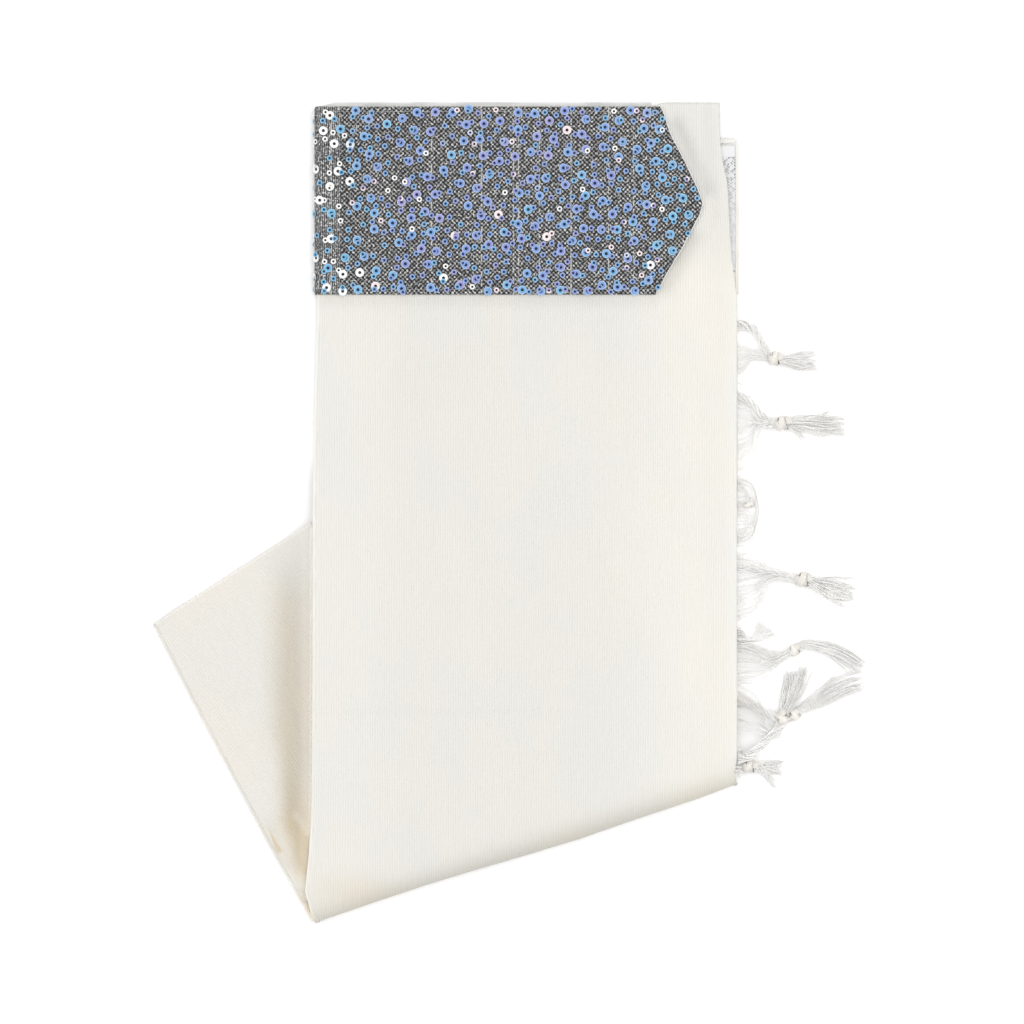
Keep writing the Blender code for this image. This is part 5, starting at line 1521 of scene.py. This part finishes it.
def bundleThreads(row, points, count, radius, dice):
    # a loosely twisted bundle that ends in the knot
    knotX, knotY, half, tall, ahead, _ = knotFrame(row)
    entry = (knotX - ahead[0] * half * 0.5, knotY - ahead[1] * half * 0.5)
    route = routeThrough([*points, entry], fringe["bundleSteps"])
    startZ = stripGround(fringe["edgeX"], points[0][1]) + 2.8
    paths = []
    for k in range(count):
        phase = fullTurn * k / count + dice.uniform(-0.2, 0.2)
        ring = radius * (1.0 if k % 3 else 0.45) * dice.uniform(0.85, 1.15)
        path = []
        for (t, x, y), normal in zip(shared(route), acrossRoute(route)):
            wound = phase + fullTurn * fringe["bundleTurns"] * t
            off = ring * mix(1.25, 0.95, smooth(t * 1.5)) * math.cos(wound)
            z = mix(startZ, tall, smooth(t)) + ring * 0.62 * math.sin(wound)
            path.append((x + normal[0] * off, y + normal[1] * off, aboveFloor(z), 1.0))
        paths.append(path)
    return paths


def tailThreads(row, points, count, width, dice):
    knotX, knotY, half, tall, ahead, _ = knotFrame(row)
    start = (knotX + ahead[0] * half * 0.6, knotY + ahead[1] * half * 0.6)
    route = routeThrough([start, *points], fringe["tailSteps"])
    # neighbouring threads keep together in locks
    locks = [(dice.uniform(-0.8, 0.8), dice.uniform(0.0, 6.28), dice.gauss(0.0, 0.09) * width)
             for _ in range(count // fringe["perLock"] + 1)]
    paths = []
    for k in range(count):
        share = (k + 0.5) / count - 0.5
        reach = dice.uniform(0.86, 1.0) if k % 5 else dice.uniform(0.72, 0.9)
        curl, phase, fray = locks[k // fringe["perLock"]]
        curl, fray = curl + dice.uniform(-0.1, 0.1), fray + dice.gauss(0.0, 0.03) * width
        drift = share + dice.uniform(-0.05, 0.05)
        z0, z1 = tall * dice.uniform(0.5, 1.5), dice.uniform(fringe["floor"], 1.9)
        path = []
        for (t, x, y), normal in zip(shared(route), acrossRoute(route)):
            if t > reach:
                break
            off = drift * mix(tall * 1.1, width, smooth(t * 1.9))
            off += curl * math.sin(t * 5.0 + phase) * t + fray * ramp(t, 0.35, 1.0)
            z = mix(z0, z1, smooth(t * 1.7)) + 0.12 * math.sin(t * 9.0 + phase)
            path.append((x + normal[0] * off, y + normal[1] * off, aboveFloor(z),
                         fringe["finer"] * mix(1.0, 0.75, smooth((t - 0.7) / 0.3))))
        paths.append(path)
    return paths


# a knot's two ropes of strands: how high each lies, its turns and how far it leads along
winding = {"perRope": 6, "levels": (0.9, 1.0), "turns": (2.2, 1.1), "leads": (0.72, -0.5),
           "steps": 34, "tuck": 0.03, "thin": 0.3, "thick": 1.25}


def knotThreads(row, dice):
    # an overhand knot: strands wound round, one over the other, and one laid across
    x, y, half, tall, ahead, side = knotFrame(row)
    perRope = winding["perRope"]
    paths = []
    for strand in range(2 * perRope):
        rope, lane = strand // perRope, strand % perRope - (perRope - 1) / 2.0
        level, turns, lead = (winding[key][rope] for key in ("levels", "turns", "leads"))
        level = level + dice.uniform(-0.02, 0.02) - 0.16 * abs(lane) / perRope
        path = []
        for t in spread(0.0, 1.0, winding["steps"]):
            wound = fullTurn * turns * t + 0.9 + 2.1 * rope
            place = lane * 0.10 * half + half * lead * (2.0 * t - 1.0)
            # the strand's ends are thin and tucked in under the others
            whole = smooth(min(t, 1.0 - t) / winding["tuck"])
            bulge = math.sqrt(max(1.0 - (place / (half * 1.35)) ** 2, 0.05))
            bulge *= mix(0.8, 1.0, whole)
            off = tall * level * bulge * math.cos(wound)
            z = tall + tall * 0.92 * level * bulge * math.sin(wound)
            path.append((x + ahead[0] * place + side[0] * off,
                         y + ahead[1] * place + side[1] * off,
                         aboveFloor(z), mix(winding["thin"], winding["thick"], whole)))
        paths.append(path)
    return paths


def tieTassel(name, paths, knot=None):
    if knot is not None:
        knots.append(makeThreads(name + "_knot", knot, fringe["thickness"], knotYarnInShade))
    return makeThreads(name + "_threads", paths, fringe["thickness"], fringeYarn)


def makeTassel(row, seed):
    dice = random.Random(seed)
    paths = []
    for group, spin in (("fans", fanThreads), ("bundles", bundleThreads),
                        ("tails", tailThreads)):
        for facts in row[group]:
            paths += spin(row, *facts, dice)
    return tieTassel(row["name"], paths, knotThreads(row, dice))


# threads that leave the edge, loop out and come back, gathered by one small knot
loopTassel = {
    "knot": (126.6, 3.9), "angle": 4.0, "size": (2.6, 1.7), "rungs": 16,
    # each loop's places, its threads and the size of its innermost one
    "loops": [([(119.6, 19.3), (124.5, 18.6), (129.0, 16.0), (131.8, 6.5), (132.2, -3.0),
                (129.2, -13.6), (124.5, -17.4), (119.6, -18.0)], 8, 0.80),
              ([(119.6, 15.0), (124.0, 13.5), (127.5, 9.8), (127.0, 4.2), (119.6, 3.2)], 5, 0.55),
              ([(119.6, 2.2), (125.0, 2.4), (128.8, -3.4), (127.6, -10.2), (119.6, -14.6)],
               5, 0.5)],
}


def makeLoopTassel():
    dice = random.Random(77)
    rootX, rungs = fringe["rootX"], loopTassel["rungs"]
    paths = []
    for loop, count, shrink in loopTassel["loops"]:
        middleY = (loop[0][1] + loop[-1][1]) / 2.0
        for k in range(count):
            inner = k / (count - 1)
            size = mix(1.0, shrink, inner) + dice.uniform(-0.03, 0.03)
            bow = mix(1.0, mix(1.0, shrink, 0.75), inner) + dice.uniform(-0.04, 0.04)
            route = routeThrough([(rootX + (x - rootX) * bow, middleY + (y - middleY) * size)
                                  for x, y in loop], 26)
            rise, phase = dice.uniform(0.8, 2.6), dice.uniform(0.0, 6.0)
            paths.append([(x, y, rise + 0.3 * math.sin(step * 0.5 + phase), 0.85)
                          for step, (x, y) in enumerate(route)])
    for k in range(rungs):
        y = mix(17.0, -16.4, (k + dice.uniform(0.1, 0.9)) / rungs)
        far = 131.0 - 0.028 * (y - 1.0) ** 2 + dice.uniform(-1.2, 0.3)
        fall = dice.uniform(2.0, 5.5) * (1.0 if y > -6.0 else -0.6)
        route = routeThrough([(rootX, y), (mix(rootX, far, 0.5), y + dice.uniform(-0.8, 0.8)),
                              (far - 0.8, y - 0.25 * fall), (far, y - fall)], 22)
        rise = dice.uniform(0.5, 2.2)
        paths.append([(x, yHere, mix(rise, 1.0, t), 0.75)
                      for t, x, yHere in shared(crimped(route, dice))])
    return tieTassel("tassel_3", paths, knotThreads(loopTassel, dice))


# where its threads start, bend and end; each pair runs from the first thread to the last
tuft = {"threads": 44, "rootY": (-62.2, -68.4), "bendX": 128.8, "bendY": (-69.0, -68.0),
        "endX": (141.8, 131.0), "endY": (-65.8, -57.6)}


def makeCornerTuft():
    dice = random.Random(91)
    paths = []
    for k in range(tuft["threads"]):
        share = (k + 0.5) / tuft["threads"]
        rootY = mix(*tuft["rootY"], share)
        end = [mix(*tuft[axis], share) + dice.uniform(-0.9, 0.9) for axis in ("endX", "endY")]
        via = (tuft["bendX"] + dice.uniform(-1.0, 1.0), mix(*tuft["bendY"], share))
        route = routeThrough([(fringe["rootX"], rootY), (123.0, rootY - 0.3), via, end], 14)
        rise = dice.uniform(1.8, 4.4)
        paths.append([(x, y, mix(rise, 0.9, smooth(step / 8.0)), 0.85)
                      for step, (x, y) in enumerate(route)])
    return tieTassel("corner_tuft", paths)


# single threads pulled loose from the fringe and, first of them, from the fringed corner
strays = [
    [(121.0, 166.0), (122.9, 152.0), (122.6, 140.0), (119.9, 132.6)],
    [(129.0, -20.6), (138.0, -23.4), (146.6, -25.9)],
    [(120.0, -24.5), (126.0, -22.0), (134.0, -23.6)],
    [(120.0, -89.6), (130.0, -92.4), (141.0, -95.0)],
    [(120.0, -110.4), (129.0, -113.6), (138.0, -113.4)],
    [(120.0, 70.0), (128.0, 66.5), (134.0, 68.8)],
    [(161.0, 55.2), (166.0, 56.2), (171.0, 55.6)],
]


def makeStrayThreads():
    dice = random.Random(13)
    paths = []
    for points in strays:
        z = 3.4 if points is strays[0] else 0.9
        phase = dice.uniform(0.0, 6.0)
        paths.append([(x, y, aboveFloor(z + 0.25 * math.sin(step * 0.6 + phase)), 0.8)
                      for step, (x, y) in enumerate(routeThrough(points, 24))])
    return makeThreads("stray_threads", paths, fringe["thickness"], fringeYarn)


knots = []
tasselPieces = {row["name"]: makeTassel(row, 100 + k) for k, row in enumerate(tassels)}
tasselPieces["tassel_3"] = makeLoopTassel()
tasselPieces["corner_tuft"] = makeCornerTuft()
strayThreads = makeStrayThreads()
print("fringe tied:", sum(len(p.data.polygons) for p in tasselPieces.values()), "faces")


# what each piece stands for and rides on
def settle(piece, slot, *nodes):
    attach(piece, "root")
    if nodes:
        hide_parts(*nodes)


settle(shawlFront, "shawl_cloth", "front_panel")
settle(shawlLeg, "shawl_cloth", "leg_panel")
settle(legTip, "shawl_cloth")
settle(stripFolds, "hidden_cloth", "main_folds")
settle(legFolds, "hidden_cloth", "leg_folds")
settle(cornerLayers, "hidden_cloth", "back_edge_panel")
settle(cornerHem, "hidden_cloth")
settle(greyLayers, "band_back", "top_layer")
settle(cornerPatch, "brocade", "corner_patch")
settle(neckband, "band_cloth", "neckband")
for piece in (largeSequins, smallSequins, bandStitches, bandPiping):
    settle(piece, "band_cloth")
for name, piece in tasselPieces.items():
    settle(piece, "fringe_thread", name)
for knot in knots:
    settle(knot, "fringe_thread")
settle(strayThreads, "fringe_thread")

# floor and light
studio = {"floorSize": 9.0, "floorTone": 0.97, "worldTone": 1.0, "worldStrength": 0.91}
lamps = [
    # name, size, place, watts
    ("overhead", 2.6, (0.3, 0.1, 2.6), 23.8),
    ("rightWindow", 1.3, (2.0, 0.55, 1.6), 12.2),
    ("leftFill", 1.2, (-2.2, 0.3, 1.7), 7.2),
]


def makeStudio():
    half = studio["floorSize"] / 2.0
    mesh = bpy.data.meshes.new("floor")
    mesh.from_pydata([(-half, -half, 0), (half, -half, 0), (half, half, 0), (-half, half, 0)],
                     [], [(0, 1, 2, 3)])
    floor = bpy.data.objects.new("floor", mesh)
    scene.collection.objects.link(floor)
    paper, _, shader = newFinish("floorPaper", 0.9)
    shader.inputs["Base Color"].default_value = (*[studio["floorTone"]] * 3, 1.0)
    shader.inputs["Specular IOR Level"].default_value = 0.1
    floor.data.materials.append(paper)
    for name, size, place, watts in lamps:
        lamp = bpy.data.lights.new(name, "AREA")
        lamp.shape = "DISK"
        lamp.size = size
        lamp.energy = watts
        holder = bpy.data.objects.new(name, lamp)
        holder.location = place
        holder.rotation_euler = (-Vector(place)).to_track_quat("-Z", "Y").to_euler()
        scene.collection.objects.link(holder)
    world = bpy.data.worlds.new("studio")
    world.use_nodes = True
    sky = world.node_tree.nodes["Background"]
    sky.inputs["Color"].default_value = (*[studio["worldTone"]] * 3, 1.0)
    sky.inputs["Strength"].default_value = studio["worldStrength"]
    scene.world = world
    scene.view_settings.view_transform = "Standard"


makeStudio()
print("studio lit")
